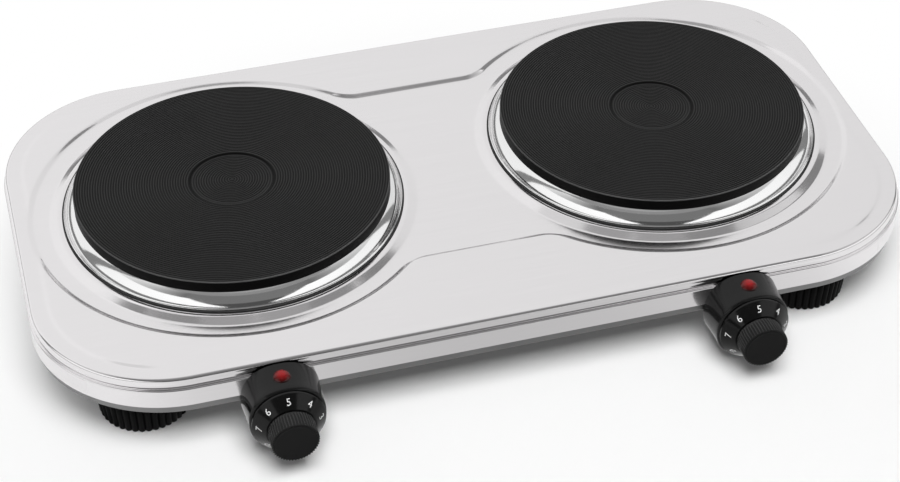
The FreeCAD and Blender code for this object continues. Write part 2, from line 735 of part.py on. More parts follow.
def thermostat_body():
    """Thermostat block behind the housing's face, bored for bushing and shaft."""
    block = Part.makeBox(
        THERMOSTAT_WIDTH,
        THERMOSTAT_BELOW + THERMOSTAT_ABOVE,
        THERMOSTAT_DEPTH,
        V(-THERMOSTAT_WIDTH / 2, -THERMOSTAT_BELOW, THERMOSTAT_BACK),
    )
    bushing = tube(0, BUSHING_RADIUS + FIT_GAP, HOUSING_INSIDE - BUSHING_SUNK, HOUSING_INSIDE)
    shaft = tube(0, SHAFT_RADIUS + HOLE_GAP, HOUSING_INSIDE - SHAFT_SUNK - KNOB_GAP, HOUSING_INSIDE)
    return block.cut([bushing, shaft])


def thermostat_bushing():
    """Threaded neck that holds the thermostat in the housing and guides its shaft."""
    return tube(
        SHAFT_RADIUS + RUN_GAP, BUSHING_RADIUS, HOUSING_INSIDE - BUSHING_SUNK, HOUSING_FACE + BUSHING_PROUD
    )


def thermostat_nuts():
    """Nuts on the bushings, hidden in the hollow of each knob."""
    one = hexagon(
        THERMOSTAT_NUT_FLATS, HOUSING_FACE, HOUSING_FACE + THERMOSTAT_NUT_HEIGHT, BUSHING_RADIUS + FIT_GAP
    )
    return Part.makeCompound([on_knob(one, side) for _, side in SIDES])


def thermostat_terminals():
    """Two blade terminals that reach back through the window in the skirt."""
    blade = Part.makeBox(
        TAB_WIDTH,
        TAB_SHEET,
        TAB_LENGTH,
        V(-TAB_WIDTH / 2, TAB_RISE - TAB_SHEET / 2, THERMOSTAT_BACK - TAB_LENGTH),
    )
    return Part.makeCompound([placed(blade, x, 0) for x in (-TAB_SPREAD, TAB_SPREAD)])


def thermostat_shaft():
    """Shaft with a flat where the knob grips it."""
    end = DIAL_BACK + SHAFT_IN_KNOB
    shaft = tube(0, SHAFT_RADIUS, HOUSING_INSIDE - SHAFT_SUNK, end)
    return shaft.cut(shaft_flat(0.0))


def shaft_flat(gap):
    """Block that makes the flat on the shaft, or leaves it in the knob's bore."""
    start = DIAL_BACK + KNOB_HOLLOW
    flat = SHAFT_FLAT + gap
    return Part.makeBox(4 * SHAFT_RADIUS, 2 * SHAFT_RADIUS, SHAFT_IN_KNOB, V(-2 * SHAFT_RADIUS, flat, start))


def knob():
    """Bevelled dial and fluted grip in one moulding, hollow behind."""
    pocket = GRIP_END - CAP_SHEET + CAP_PROUD
    body = turned(
        (0, DIAL_BACK),
        (DIAL_RADIUS, DIAL_BACK),
        (DIAL_RADIUS, DIAL_BACK + DIAL_RIM),
        (GRIP_RADIUS + 2 * GRIP_FLUTE_RADIUS, GRIP_START),
        (GRIP_RADIUS, GRIP_START),
        (GRIP_RADIUS, GRIP_END - GRIP_FLUTE_RADIUS),
        (GRIP_RADIUS - GRIP_FLUTE_RADIUS, GRIP_END),
        (CAP_RADIUS + FIT_GAP, GRIP_END),
        (CAP_RADIUS + FIT_GAP, pocket),
        (0, pocket),
    )
    flutes = []
    for i in range(GRIP_FLUTES):
        angle = 2 * math.pi * i / GRIP_FLUTES
        centre = V(GRIP_RADIUS * math.cos(angle), GRIP_RADIUS * math.sin(angle), GRIP_START)
        flutes.append(Part.makeCylinder(GRIP_FLUTE_RADIUS, GRIP_LENGTH + CUT, centre))
    hollow = tube(0, KNOB_HOLLOW_RADIUS, DIAL_BACK, DIAL_BACK + KNOB_HOLLOW)
    bore = tube(0, SHAFT_RADIUS + FIT_GAP, DIAL_BACK, DIAL_BACK + SHAFT_IN_KNOB)
    return body.cut(flutes + [hollow, bore.cut(shaft_flat(FIT_GAP))])


def knob_cap():
    """Flat disc pressed into the front of the grip."""
    low = GRIP_END - CAP_SHEET + CAP_PROUD
    return tube(0, CAP_RADIUS, low, low + CAP_SHEET)


def wire(points):
    """Round wire through points in one level, with an arc at each bend."""
    edges = []
    here = V(*points[0], 0)
    for i in range(1, len(points) - 1):
        corner = V(*points[i], 0)
        arrive = (corner - V(*points[i - 1], 0)).normalize()
        leave = (V(*points[i + 1], 0) - corner).normalize()
        start = corner - arrive * WIRE_BEND
        end = corner + leave * WIRE_BEND
        centre = start + leave * WIRE_BEND
        middle = centre - (leave - arrive).normalize() * WIRE_BEND
        edges.append(Part.LineSegment(here, start).toShape())
        edges.append(Part.Arc(start, middle, end).toShape())
        here = end
    edges.append(Part.LineSegment(here, V(*points[-1], 0)).toShape())
    path = Part.Wire(edges)
    direction = edges[0].tangentAt(edges[0].FirstParameter)
    section = Part.Wire(Part.makeCircle(WIRE_RADIUS, V(*points[0], 0), direction))
    return placed(path.makePipeShell([section], True, False), 0, 0, TAB_LEVEL)


def wiring(side):
    """Supply wire, element wire and neutral wire of one plate."""
    tab_y = SKIRT_FRONT - THERMOSTAT_BACK + TAB_LENGTH
    front = -BODY_DEPTH / 2
    block_y = BODY_DEPTH / 2 - BLOCK_INSET - BLOCK_DEPTH
    inner_tab = side * (KNOB_X - TAB_SPREAD)
    outer_tab = side * (KNOB_X + TAB_SPREAD)
    pin_y = PLATE_Y + pin_places()[0][1]
    inner_pin = side * (PLATE_X - PIN_SPREAD)
    supply = [
        (inner_tab, tab_y),
        (inner_tab, front + SUPPLY_CROSSING),
        (side * SUPPLY_LANE, front + SUPPLY_CROSSING),
        (side * SUPPLY_LANE, block_y),
    ]
    element = [(outer_tab, tab_y), (outer_tab, pin_y + PIN_RADIUS)]
    neutral = [
        (inner_pin, pin_y + PIN_RADIUS),
        (inner_pin, front + NEUTRAL_CROSSING),
        (side * NEUTRAL_LANE, front + NEUTRAL_CROSSING),
        (side * NEUTRAL_LANE, block_y),
    ]
    return Part.makeCompound([wire(supply), wire(element), wire(neutral)])


def terminal_places():
    """Centres of the terminal screws across the block."""
    return [-NEUTRAL_LANE, -SUPPLY_LANE, SUPPLY_LANE, NEUTRAL_LANE]


def terminal_block():
    """Block on the pan's floor where the wires meet, with a well for each screw."""
    y = BODY_DEPTH / 2 - BLOCK_INSET - BLOCK_DEPTH
    block = Part.makeBox(BLOCK_LENGTH, BLOCK_DEPTH, BLOCK_HEIGHT, V(-BLOCK_LENGTH / 2, y, PAN_FLOOR))
    top = PAN_FLOOR + BLOCK_HEIGHT
    well = tube(0, TERMINAL_RADIUS + FIT_GAP, top - TERMINAL_DEPTH, top)
    return block.cut([placed(well, x, y + BLOCK_DEPTH / 2) for x in terminal_places()])


def terminal_screws():
    """Brass screws in the terminal block."""
    y = BODY_DEPTH / 2 - BLOCK_INSET - BLOCK_DEPTH / 2
    top = PAN_FLOOR + BLOCK_HEIGHT
    one = tube(0, TERMINAL_RADIUS, top - TERMINAL_DEPTH, top)
    return Part.makeCompound([placed(one, x, y) for x in terminal_places()])


def facing_rear(shape):
    """Turns a shape's Z axis to the rear and starts it on the skirt's rear face."""
    moved = shape.copy()
    moved.rotate(V(0, 0, 0), V(1, 0, 0), -90)
    moved.translate(V(0, SKIRT_REAR, GLAND_LEVEL))
    return moved


def cord_gland():
    """Flanged bush in the rear skirt, bored for a mains lead."""
    gland = turned(
        (GLAND_BORE, -GLAND_INSIDE),
        (GLAND_RADIUS, -GLAND_INSIDE),
        (GLAND_RADIUS, 0),
        (GLAND_FLANGE, 0),
        (GLAND_FLANGE - GLAND_PROUD / 4, GLAND_PROUD),
        (GLAND_BORE, GLAND_PROUD),
    )
    return facing_rear(gland)


def gland_nut():
    """Nut that holds the gland from inside."""
    return facing_rear(
        hexagon(GLAND_NUT_FLATS, -SHEET - GLAND_NUT_HEIGHT, -SHEET, GLAND_RADIUS + FIT_GAP)
    )


def earth_place(shape):
    """Places a shape on the pan's floor beside the terminal block."""
    return placed(shape, EARTH_X, BODY_DEPTH / 2 - BLOCK_INSET - BLOCK_DEPTH / 2, PAN_FLOOR)


def earth_stud():
    """Stud welded to the pan's floor."""
    return earth_place(tube(0, EARTH_RADIUS, 0, EARTH_LENGTH))


def earth_nut():
    """Nut on the earth stud."""
    return earth_place(hexagon(SMALL_NUT_FLATS, 0, SMALL_NUT_HEIGHT, EARTH_RADIUS + FIT_GAP))


def build():
    """Every piece of the hot plate by name."""
    pieces = {
        "top_shell": top_shell(),
        "base_pan": base_pan(),
        "foot_screws": foot_screws(),
        "foot_nuts": foot_nuts(),
        "standoffs": standoffs(),
        "base_screws": base_screws(),
        "stud_nuts": stud_nuts(),
        "housing_screws": housing_screws(),
        "thermostat_nuts": thermostat_nuts(),
        "terminal_block": terminal_block(),
        "terminal_screws": terminal_screws(),
        "cord_gland": cord_gland(),
        "gland_nut": gland_nut(),
        "earth_stud": earth_stud(),
        "earth_nut": earth_nut(),
    }
    one_foot = foot()
    for name, (x, y) in zip(("front_left", "front_right", "rear_left", "rear_right"), foot_places()):
        pieces[name + "_foot"] = placed(one_foot, x, y)
    about_plate = {
        "hot_plate": hot_plate(),
        "trim_ring": trim_ring(),
        "heating_coil": heating_coil(),
        "insulation": insulation(),
        "element_cover": element_cover(),
        "clamp_bridge": clamp_bridge(),
        "plate_stud": plate_stud(),
        "heat_shield": heat_shield(),
    }
    along_knob = {
        "control_housing": control_housing(),
        "housing_cover": housing_cover(),
        "indicator_lens": indicator_lens(),
        "neon_lamp": neon_lamp(),
        "thermostat_body": thermostat_body(),
        "thermostat_bushing": thermostat_bushing(),
        "thermostat_terminals": thermostat_terminals(),
        "thermostat_shaft": thermostat_shaft(),
        "knob": knob(),
        "knob_cap": knob_cap(),
    }
    for side_name, side in SIDES:
        for name, shape in about_plate.items():
            pieces[side_name + "_" + name] = on_plate(shape, side)
        for name, shape in along_knob.items():
            pieces[side_name + "_" + name] = on_knob(shape, side)
        pieces[side_name + "_wiring"] = wiring(side)
    return pieces


os.makedirs("parts", exist_ok=True)
for piece_name, piece in build().items():
    placed(piece, 0, CENTRE_SHIFT).exportStep("parts/" + piece_name + ".step")
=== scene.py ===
import math
import bpy
import numpy as np
from mathutils import Matrix, Vector
from mathutils.geometry import delaunay_2d_cdt


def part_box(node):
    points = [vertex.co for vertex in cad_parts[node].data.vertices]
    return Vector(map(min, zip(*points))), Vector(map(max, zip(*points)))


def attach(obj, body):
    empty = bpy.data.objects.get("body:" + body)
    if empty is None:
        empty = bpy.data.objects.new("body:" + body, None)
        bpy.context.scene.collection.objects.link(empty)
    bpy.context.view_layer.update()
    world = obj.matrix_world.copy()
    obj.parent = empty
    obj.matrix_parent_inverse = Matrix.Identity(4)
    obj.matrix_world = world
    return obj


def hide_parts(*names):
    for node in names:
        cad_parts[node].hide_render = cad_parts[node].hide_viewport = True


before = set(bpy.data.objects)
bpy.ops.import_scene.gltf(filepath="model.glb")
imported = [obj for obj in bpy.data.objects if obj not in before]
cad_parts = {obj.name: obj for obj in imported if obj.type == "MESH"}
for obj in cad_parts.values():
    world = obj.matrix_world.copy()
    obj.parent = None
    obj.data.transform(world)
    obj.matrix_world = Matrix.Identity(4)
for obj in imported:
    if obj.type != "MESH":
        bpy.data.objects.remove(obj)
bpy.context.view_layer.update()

# General values
MM = 0.001
TINY = 1e-6
FAR = 1e3
SHARP = 40
ARC_SHARE = 0.48
SIDES = (("left", -1), ("right", 1))

# Case, in millimetres, in the frame of the solids
CASE_Y = 18.4
HALF_LENGTH = 258.0
HALF_DEPTH = 137.0
CORNER_RADIUS = 78.0
SHEET = 0.8
LEDGE_LEVEL = 46.3
LEDGE_WIDTH = 10.5
LEDGE_RISE = 0.7
LEDGE_RUN = 2.4
LEDGE_EASE = 0.25
LEDGE_SPREAD = 10.0
SPREAD_END = 140.0
SPREAD_FADE = 80.0
BACK_FALL_START = 84.0
BACK_FALL_RUN = 30.0
RIM_ROUND = 2.0
RIM_BEAD = 0.35
BEAD_GAP = 0.4
BEAD_FOOT = 0.9
CREASE_DEPTH = 0.1
CREASE_TOP = 0.55
CREASE_BOTTOM = 0.2
CREASE_FLARE = 0.15
SKIRT_STEP = 1.5
SKIRT_ROUND = 0.9
SKIRT_TOP = 39.5
SKIRT_LEVELS = (36.0, 33.0, 30.0)
SKIRT_BOTTOM = 27.5
HEM_ROUND = 0.4

# Recess and plate openings
PLATE_X = 130.0
PLATE_Y = 23.4
RECESS_Y = 24.9
RECESS_RADIUS = 119.0
RECESS_HALF_WAIST = 81.0
RECESS_CORNER = 6.0
RECESS_LEVEL = 45.0
RECESS_RUN = 2.8
RECESS_EASE = 0.2
RECESS_SEARCH = (100.0, 175.0)
SEARCH_STEPS = 40
DOME_TOP = 103.0
DOME_RUN = 5.0
DOME_EASE = 0.12
DOME_HEIGHT = 2.5
OPENING_RADIUS = 94.0

# Points of the top's mesh
CORNER_POINTS = 41
STRAIGHT_RUNS = (14, 44, 14, 44)
RECESS_POINTS = 260
CIRCLE_POINTS = 240
LEDGE_BAND = 3.2
LEDGE_LINES = 11
RECESS_BAND = 3.0
RECESS_LINES = 13
DOME_BAND = 0.8
DOME_LINES = 5
FILLER_X = (-252, 253)
FILLER_Y = (-112, 150)
FILLER_PITCH = 7.0
FILLER_GAP = 5.0
FILLER_DOME_GAP = 4.0
SLOPE_STEP = 0.02
WELD = 1e-4
TOUCH = 1e-3

# Plates and trim rings
PLATE_TOP = 63.0
PLATE_RADIUS = 92.5
PLATE_BOTTOM = 43.4
SEAT_LEVEL = 56.0
PLATE_FLANGE = 6.0
GROOVE_PITCH = 1.5
GROOVE_WIDTH = 0.8
GROOVE_DEPTH = 0.3
GROOVE_START = 1.0
GROOVE_END = 91.0
DIMPLE_RADIUS = 25.0
DIMPLE_DEPTH = 0.6
DIMPLE_SLOPE = 0.7
DIMPLE_LIP = 0.2
DIMPLE_LIP_DROP = 0.1
EDGE_ROUND = 0.7
SEAT_ROUND = 0.3
BOTTOM_ROUND = 0.5
PLATE_SEGMENTS = 256
RING_RADIUS = 99.4
RING_SHEET = 0.9
RING_SEAT = 4.5
RING_WAIST = 98.6
RING_WAIST_LEVEL = 49.7
RING_FULLNESS = 0.75
RING_LIP = 1.45
RING_TUCK = 2.4
RING_BASE = 47.5
RING_CLEAR = 0.2
RING_BULGE = (0.79, 0.62)
BRIM_END = (0.15, 0.01)
BRIM_DIP = (0.07, 0.06)
BRIM_UNDERSIDE = 0.6
ROLL_RADIUS = 0.3
ROLL_DROP = 0.25
ROLL_ARC = (50, -120)
SEAT_END = 0.5
RING_SEGMENTS = 400
RING_SHARP = 28
# Painted shade: a dark bead under the ring's brim
SHADE_BEAD_RADIUS = 100.4
SHADE_BEAD_GAP = 0.05
SHADE_BEAD_DROP = 0.65
SHADE_BEAD_SEGMENTS = 192

# Turned-up edge of the base pan
PAN_EDGE_INSET = -0.3
PAN_EDGE_TOP = 29.0
PAN_EDGE_BOTTOM = 22.3
PAN_EDGE_FLANGE = 5.8
PAN_EDGE_ROUND = 1.2

# Controls
KNOB_X = 134.0
KNOB_HEIGHT = 23.5
SKIRT_FRONT = -120.1
HOUSING_FACE = 20.5
HOUSING_RADIUS = 21.3
HOUSING_FLARE = 0.8
FLARE_LENGTH = 14.0
HOUSING_SQUARENESS = 2.25
HOUSING_FLOOR = 18.5
HOUSING_ROUND = 1.5
HOUSING_LEVELS = (15.5, 17.0)
HOUSING_POINTS = 144
HOUSING_SHARP = 35
FACE_INSETS = (4.0, 10.0, 15.5)
FLARE_POWER = 1.4
FLOOR_CORNER_POWER = 14.0
LENS_RADIUS = 5.5
LENS_RISE = 2.2
LENS_BACK = 9.0
LENS_SHOULDER = 2.6
LENS_SHOULDER_DROP = 0.42
LENS_EDGE = (4.75, 0.45)
LENS_GROOVE = (4.85, 0.25)
LENS_COLLAR = (5.1, 0.45)
COLLAR_HEIGHT = 0.2
LENS_SINK = 1.2
LENS_SEGMENTS = 64
DIAL_BACK = 21.0
DIAL_RADIUS = 20.5
DIAL_RIM = 1.5
DIAL_BEVEL = 6.2
BEVEL_TOP = 14.1
GRIP_RADIUS = 13.2
GRIP_LENGTH = 10.8
GRIP_FLUTES = 48
GRIP_FLUTE_DEPTH = 0.6
GRIP_FLUTE_SHARPNESS = 3.0
GRIP_FLUTE_POINTS = 12
GRIP_STEP = 0.1
# Painted highlight on the grip's ridges, this far below their tops
GRIP_HIGHLIGHT_START = 0.15
GRIP_HIGHLIGHT_END = 0.03
KNOB_BORE = 9.5
BORE_DEPTH = 4.0
CAP_RADIUS = 12.2
CAP_PROUD = 0.3
CAP_FIT = 0.1
CAP_WELL = 1.0
CAP_DEPTH = 0.95
CAP_DISH = 0.12
CAP_DISH_EDGE = 1.4
CAP_DISH_EDGE_DROP = 0.1
CAP_LAND = 0.7
CAP_SEGMENTS = 128
PLAIN_LIP = 0.3
NUMBERS = 8
TOP_NUMBER = 5
NUMBER_SIZE = 5.7
NUMBER_STEP = 42.0
NUMBER_RELIEF = 0.05
NUMBER_RESOLUTION = 4
NUMBER_SHARP = 30
OFF_ANGLE = 231.0

# Feet
FOOT_HEIGHT = 23.0
FOOT_RADIUS = 27.0
FOOT_TAPER = 1.2
FOOT_WAIST = 0.6
FOOT_FLUTES = 40
FOOT_FLUTE_DEPTH = 1.3
FOOT_FLUTE_SHARPNESS = 0.8
FOOT_FLUTE_POINTS = 10
FLUTE_START = 22.0
FLUTE_RUN = 3.0
WELL_RADIUS = 6.5
WELL_DEPTH = 14.0


def link_mesh(name, points, faces, sharp=None, normals=None):
    """Mesh object from points in millimetres, smooth except where the angle is sharper than given."""
    mesh = bpy.data.meshes.new(name)
    mesh.from_pydata((np.asarray(points) * MM).tolist(), [], faces)
    mesh.update()
    mesh.polygons.foreach_set("use_smooth", [True] * len(mesh.polygons))
    if sharp is not None:
        mesh.set_sharp_from_angle(angle=math.radians(sharp))
    if normals is not None:
        mesh.normals_split_custom_set_from_vertices(np.asarray(normals).tolist())
    obj = bpy.data.objects.new(name, mesh)
    bpy.context.collection.objects.link(obj)
    return obj


def rounded(corners, steps=6):
    """Outline through corners (radius, height, rounding), each corner turned into an arc."""
    outline = []
    for i, (r, z, rounding) in enumerate(corners):
        here = np.array((r, z))
        if rounding == 0 or i in (0, len(corners) - 1):
            outline.append(here)
            continue
        before = np.array(corners[i - 1][:2]) - here
        after = np.array(corners[i + 1][:2]) - here
        before_length = np.linalg.norm(before)
        after_length = np.linalg.norm(after)
        before /= before_length
        after /= after_length
        half = math.acos(np.clip(before @ after, -1, 1)) / 2
        cut = min(rounding / math.tan(half), ARC_SHARE * before_length, ARC_SHARE * after_length)
        radius = cut * math.tan(half)
        middle = before + after
        centre = here + middle / np.linalg.norm(middle) * radius / math.sin(half)
        start = here + before * cut - centre
        end = here + after * cut - centre
        sweep = math.pi - 2 * half
        for k in range(steps + 1):
            t = k / steps
            weight_a = math.sin((1 - t) * sweep) / math.sin(sweep)
            weight_b = math.sin(t * sweep) / math.sin(sweep)
            outline.append(centre + weight_a * start + weight_b * end)
    return np.array(outline)


def arc_through(a, b, c, steps):
    """Points of the circle arc from a through b to c."""
    a, b, c = (np.array(p, float) for p in (a, b, c))
    sides = 2 * np.array([b - a, c - a])
    centre = np.linalg.solve(sides, [b @ b - a @ a, c @ c - a @ a])
    first = math.atan2(*(a - centre)[::-1])
    turn = math.remainder(math.atan2(*(c - centre)[::-1]) - first, 2 * math.pi)
    angles = first + turn * np.linspace(0, 1, steps + 1)
    reach = np.linalg.norm(a - centre)
    return centre + reach * np.stack([np.cos(angles), np.sin(angles)], 1)


def lathe(outline, segments, closed=False, wave=None):
    """Points and faces of an outline (radius, height) turned about the Z axis; a wave changes the radius."""
    angles = np.linspace(0, 2 * math.pi, segments, endpoint=False)
    points = []
    rings = []
    for r, z in outline:
        if r < TINY:
            rings.append([len(points)] * segments)
            points.append((0.0, 0.0, z))
            continue
        radii = np.full(segments, r) if wave is None else wave(r, z, angles)
        rings.append(list(range(len(points), len(points) + segments)))
        points.extend(zip(radii * np.cos(angles), radii * np.sin(angles), np.full(segments, z)))
    faces = []
    pairs = list(zip(rings, rings[1:]))
    if closed:
        pairs.append((rings[-1], rings[0]))
    for inner, outer in pairs:
        for j in range(segments):
            k = (j + 1) % segments
            corners = (inner[j], outer[j], outer[k], inner[k])
            face = tuple(dict.fromkeys(corners))
            if len(face) > 2:
                faces.append(face)
    return np.array(points, float), faces


def on_plate(points, side):
    """Points made about a plate's axis, in place."""
    return points + np.array((side * PLATE_X, PLATE_Y, 0.0))


def on_knob(points, side):
    """Points made about the Z axis, turned to face the front from the skirt."""
    x, y, z = points.T
    return np.stack([side * KNOB_X + x, SKIRT_FRONT - z, KNOB_HEIGHT + y], 1)


def soft_ramp(t, softness):
    """Straight ramp from 0 to 1 with eased ends."""
    return 0.5 * (np.sqrt(t * t + softness * softness) - np.sqrt((t - 1) ** 2 + softness * softness) + 1)


def ease(t):
    """Smooth rise from 0 to 1."""
    t = np.clip(t, 0, 1)
    return t * t * (3 - 2 * t)


def box_distance(x, y, half_x, half_y):
    """Signed distance to a rectangle round the origin, negative inside."""
    over_x = np.abs(x) - half_x
    over_y = np.abs(y) - half_y
    outside = np.hypot(np.maximum(over_x, 0), np.maximum(over_y, 0))
    return outside + np.minimum(np.maximum(over_x, over_y), 0)


def case_inset(x, y):
    """Distance in from the case's upper wall."""
    straight_x = HALF_LENGTH - CORNER_RADIUS
    straight_y = HALF_DEPTH - CORNER_RADIUS
    return CORNER_RADIUS - box_distance(x, y - CASE_Y, straight_x, straight_y)


def recess_distance(x, y):
    """Signed distance to the figure-eight recess, negative inside, with rounded inner corners."""
    discs = np.hypot(np.abs(x) - PLATE_X, y - RECESS_Y) - RECESS_RADIUS
    bridge = box_distance(x, y - RECESS_Y, PLATE_X, RECESS_HALF_WAIST)
    near_discs = np.maximum(RECESS_CORNER - discs, 0)
    near_bridge = np.maximum(RECESS_CORNER - bridge, 0)
    return np.maximum(RECESS_CORNER, np.minimum(discs, bridge)) - np.hypot(near_discs, near_bridge)


def top_height(x, y):
    """Height of the pressed top at a point."""
    along = ease((np.abs(x) - SPREAD_END) / SPREAD_FADE)
    behind = ease((y - RECESS_Y - BACK_FALL_START) / BACK_FALL_RUN)
    run = LEDGE_RUN + LEDGE_SPREAD * (1 - along)
    ledge = soft_ramp((case_inset(x, y) - LEDGE_WIDTH) / run + 0.5, LEDGE_EASE)
    border = LEDGE_LEVEL + LEDGE_RISE * ledge * (1 - behind)
    sunk = soft_ramp(0.5 - recess_distance(x, y) / RECESS_RUN, RECESS_EASE)
    reach = np.hypot(np.abs(x) - PLATE_X, y - PLATE_Y)
    dome = soft_ramp((DOME_TOP + DOME_RUN - reach) / DOME_RUN, DOME_EASE)
    return border + (RECESS_LEVEL - border) * sunk + DOME_HEIGHT * dome


def case_contour(inset):
    """Points round the case at an inset from its upper wall, with the outward directions there."""
    radius = CORNER_RADIUS - inset
    straight_x = HALF_LENGTH - CORNER_RADIUS
    straight_y = HALF_DEPTH - CORNER_RADIUS
    points = []
    directions = []
    corners = ((1, -1, -90), (1, 1, 0), (-1, 1, 90), (-1, -1, 180))
    for k, (sx, sy, start) in enumerate(corners):
        centre = np.array((sx * straight_x, CASE_Y + sy * straight_y))
        for angle in np.radians(np.linspace(start, start + 90, CORNER_POINTS)):
            direction = np.array((math.cos(angle), math.sin(angle)))
            points.append(centre + radius * direction)
            directions.append(direction)
        next_x, next_y, _ = corners[(k + 1) % 4]
        next_centre = np.array((next_x * straight_x, CASE_Y + next_y * straight_y))
        for t in np.linspace(0, 1, STRAIGHT_RUNS[k] + 1)[1:-1]:
            points.append(centre + (next_centre - centre) * t + radius * directions[-1])
            directions.append(directions[-1])
    return np.array(points), np.array(directions)


def recess_contour(level):
    """Closed line round the recess at a distance from its edge."""
    first = math.atan2(RECESS_HALF_WAIST + level, PLATE_X)
    angles = np.linspace(first, 2 * math.pi - first, RECESS_POINTS)
    nearest, farthest = RECESS_SEARCH
    low = np.full(len(angles), nearest)
    high = np.full(len(angles), farthest)
    for _ in range(SEARCH_STEPS):
        middle = (low + high) / 2
        x = -PLATE_X + middle * np.cos(angles)
        y = RECESS_Y + middle * np.sin(angles)
        inside = recess_distance(x, y) < level
        low = np.where(inside, middle, low)
        high = np.where(inside, high, middle)
    left = np.stack([-PLATE_X + low * np.cos(angles), RECESS_Y + low * np.sin(angles)], 1)
    right = left[::-1] * np.array((-1, 1))
    return np.concatenate([left[1:], right[1:]])


def circle(radius, side):
    """Circle round a plate's axis."""
    angles = np.linspace(0, 2 * math.pi, CIRCLE_POINTS, endpoint=False)
    return np.stack([side * PLATE_X + radius * np.cos(angles), PLATE_Y + radius * np.sin(angles)], 1)


def rim_outline():
    """Section of the rim and skirt as (inset, height), from the ledge's outer end to the hem."""
    quarter = np.linspace(0, math.pi / 2, 9)[1:]
    low = LEDGE_LEVEL - RIM_ROUND
    edge = [(RIM_ROUND * (1 - math.sin(t)), low + RIM_ROUND * math.cos(t)) for t in quarter]
    bead_top = low - BEAD_GAP
    bead_bottom = SKIRT_TOP + BEAD_FOOT
    for t in np.linspace(0, 1, 9):
        height = bead_top + (bead_bottom - bead_top) * t
        edge.append((-RIM_BEAD * math.sin(math.pi * t), height))
    edge += [(CREASE_DEPTH, SKIRT_TOP + rise) for rise in (CREASE_TOP, CREASE_BOTTOM)]
    edge.append((-CREASE_FLARE, SKIRT_TOP))
    shoulder = SKIRT_STEP - SKIRT_ROUND
    for t in np.linspace(0, math.pi / 2, 7):
        edge.append((-shoulder - SKIRT_ROUND * math.sin(t), SKIRT_TOP - SKIRT_ROUND * (1 - math.cos(t))))
    edge += [(-SKIRT_STEP, z) for z in SKIRT_LEVELS]
    for t in np.linspace(0, math.pi / 2, 5):
        turn = HEM_ROUND * (1 - math.cos(t))
        edge.append((-SKIRT_STEP + turn, SKIRT_BOTTOM + HEM_ROUND * (1 - math.sin(t))))
    return np.array(edge)


def steel_top():
    """Pressed top with its recess, domes, openings, ledge, rim and skirt, as a sheet with two sides."""
    start, outward = case_contour(RIM_ROUND)
    loops = [start]
    ledge_shifts = np.linspace(-LEDGE_BAND, LEDGE_BAND, LEDGE_LINES)
    loops += [case_contour(LEDGE_WIDTH + shift)[0] for shift in ledge_shifts]
    loops += [recess_contour(level) for level in np.linspace(-RECESS_BAND, RECESS_BAND, RECESS_LINES)]
    dome_base = DOME_TOP + DOME_RUN
    radii = [OPENING_RADIUS, (OPENING_RADIUS + DOME_TOP) / 2, DOME_TOP - 2 * DOME_BAND]
    for bend in (DOME_TOP, dome_base):
        radii += list(np.linspace(bend - DOME_BAND, bend + DOME_BAND, DOME_LINES))
    radii.append(dome_base + 2 * DOME_BAND)
    loops += [circle(radius, side) for _, side in SIDES for radius in radii]
    grid_x, grid_y = np.meshgrid(np.arange(*FILLER_X, FILLER_PITCH), np.arange(*FILLER_Y, FILLER_PITCH))
    filler = np.stack([grid_x.ravel(), grid_y.ravel()], 1)
    reach = np.hypot(np.abs(filler[:, 0]) - PLATE_X, filler[:, 1] - PLATE_Y)
    clear = case_inset(*filler.T) > LEDGE_WIDTH + FILLER_GAP
    clear &= np.abs(recess_distance(*filler.T)) > FILLER_GAP
    clear &= reach > dome_base + FILLER_DOME_GAP
    flat = [tuple(p) for loop in loops for p in loop] + [tuple(p) for p in filler[clear]]
    edges = []
    first = 0
    for loop in loops:
        count = len(loop)
        edges += [(first + i, first + (i + 1) % count) for i in range(count)]
        first += count
    verts, _, tris, origin, _, _ = delaunay_2d_cdt([Vector(p) for p in flat], edges, [], 0, WELD)
    plan = np.array([tuple(v) for v in verts])
    new_index = {old: new for new, olds in enumerate(origin) for old in olds}
    tris = np.array(tris)
    middle = plan[tris].mean(axis=1)
    reach = np.hypot(np.abs(middle[:, 0]) - PLATE_X, middle[:, 1] - PLATE_Y)
    opening = OPENING_RADIUS * math.cos(math.pi / CIRCLE_POINTS)
    kept = (case_inset(*middle.T) > RIM_ROUND - TOUCH) & (reach > opening - TOUCH)
    tris = tris[kept]
    corner = plan[tris]
    turn = np.cross(corner[:, 1] - corner[:, 0], corner[:, 2] - corner[:, 0])
    tris[turn < 0] = tris[turn < 0][:, ::-1]
    x, y = plan.T
    height = top_height(x, y)
    h = SLOPE_STEP
    slope_x = (top_height(x + h, y) - top_height(x - h, y)) / (2 * h)
    slope_y = (top_height(x, y + h) - top_height(x, y - h)) / (2 * h)
    normals = np.stack([-slope_x, -slope_y, np.ones(len(plan))], 1)
    points = np.column_stack([plan, height])
    faces = [tuple(int(i) for i in t) for t in tris]
    count = len(start)
    ring = [new_index[i] for i in range(count)]
    section = rim_outline()
    tangent = np.gradient(np.vstack([[RIM_ROUND, LEDGE_LEVEL], section]), axis=0)[1:]
    total = len(points)
    new_points = []
    new_normals = []
    for (inset, z), (d_inset, d_z) in zip(section, tangent):
        plan_points, _ = case_contour(inset)
        new_points.append(np.column_stack([plan_points, np.full(count, z)]))
        new_normals.append(np.column_stack([-d_z * outward, np.full(count, -d_inset)]))
        next_ring = list(range(total, total + count))
        total += count
        for i in range(count):
            k = (i + 1) % count
            faces.append((ring[i], next_ring[i], next_ring[k], ring[k]))
        ring = next_ring
    points = np.vstack([points] + new_points)
    normals = np.vstack([normals] + new_normals)
    normals /= np.linalg.norm(normals, axis=1)[:, None]
    used = np.unique(np.concatenate([np.array(f) for f in faces]))
    remap = {int(old): new for new, old in enumerate(used)}
    points = points[used]
    normals = normals[used]
    faces = [tuple(remap[i] for i in f) for f in faces]
    return two_sided("steel_top", points, normals, faces, SHEET)


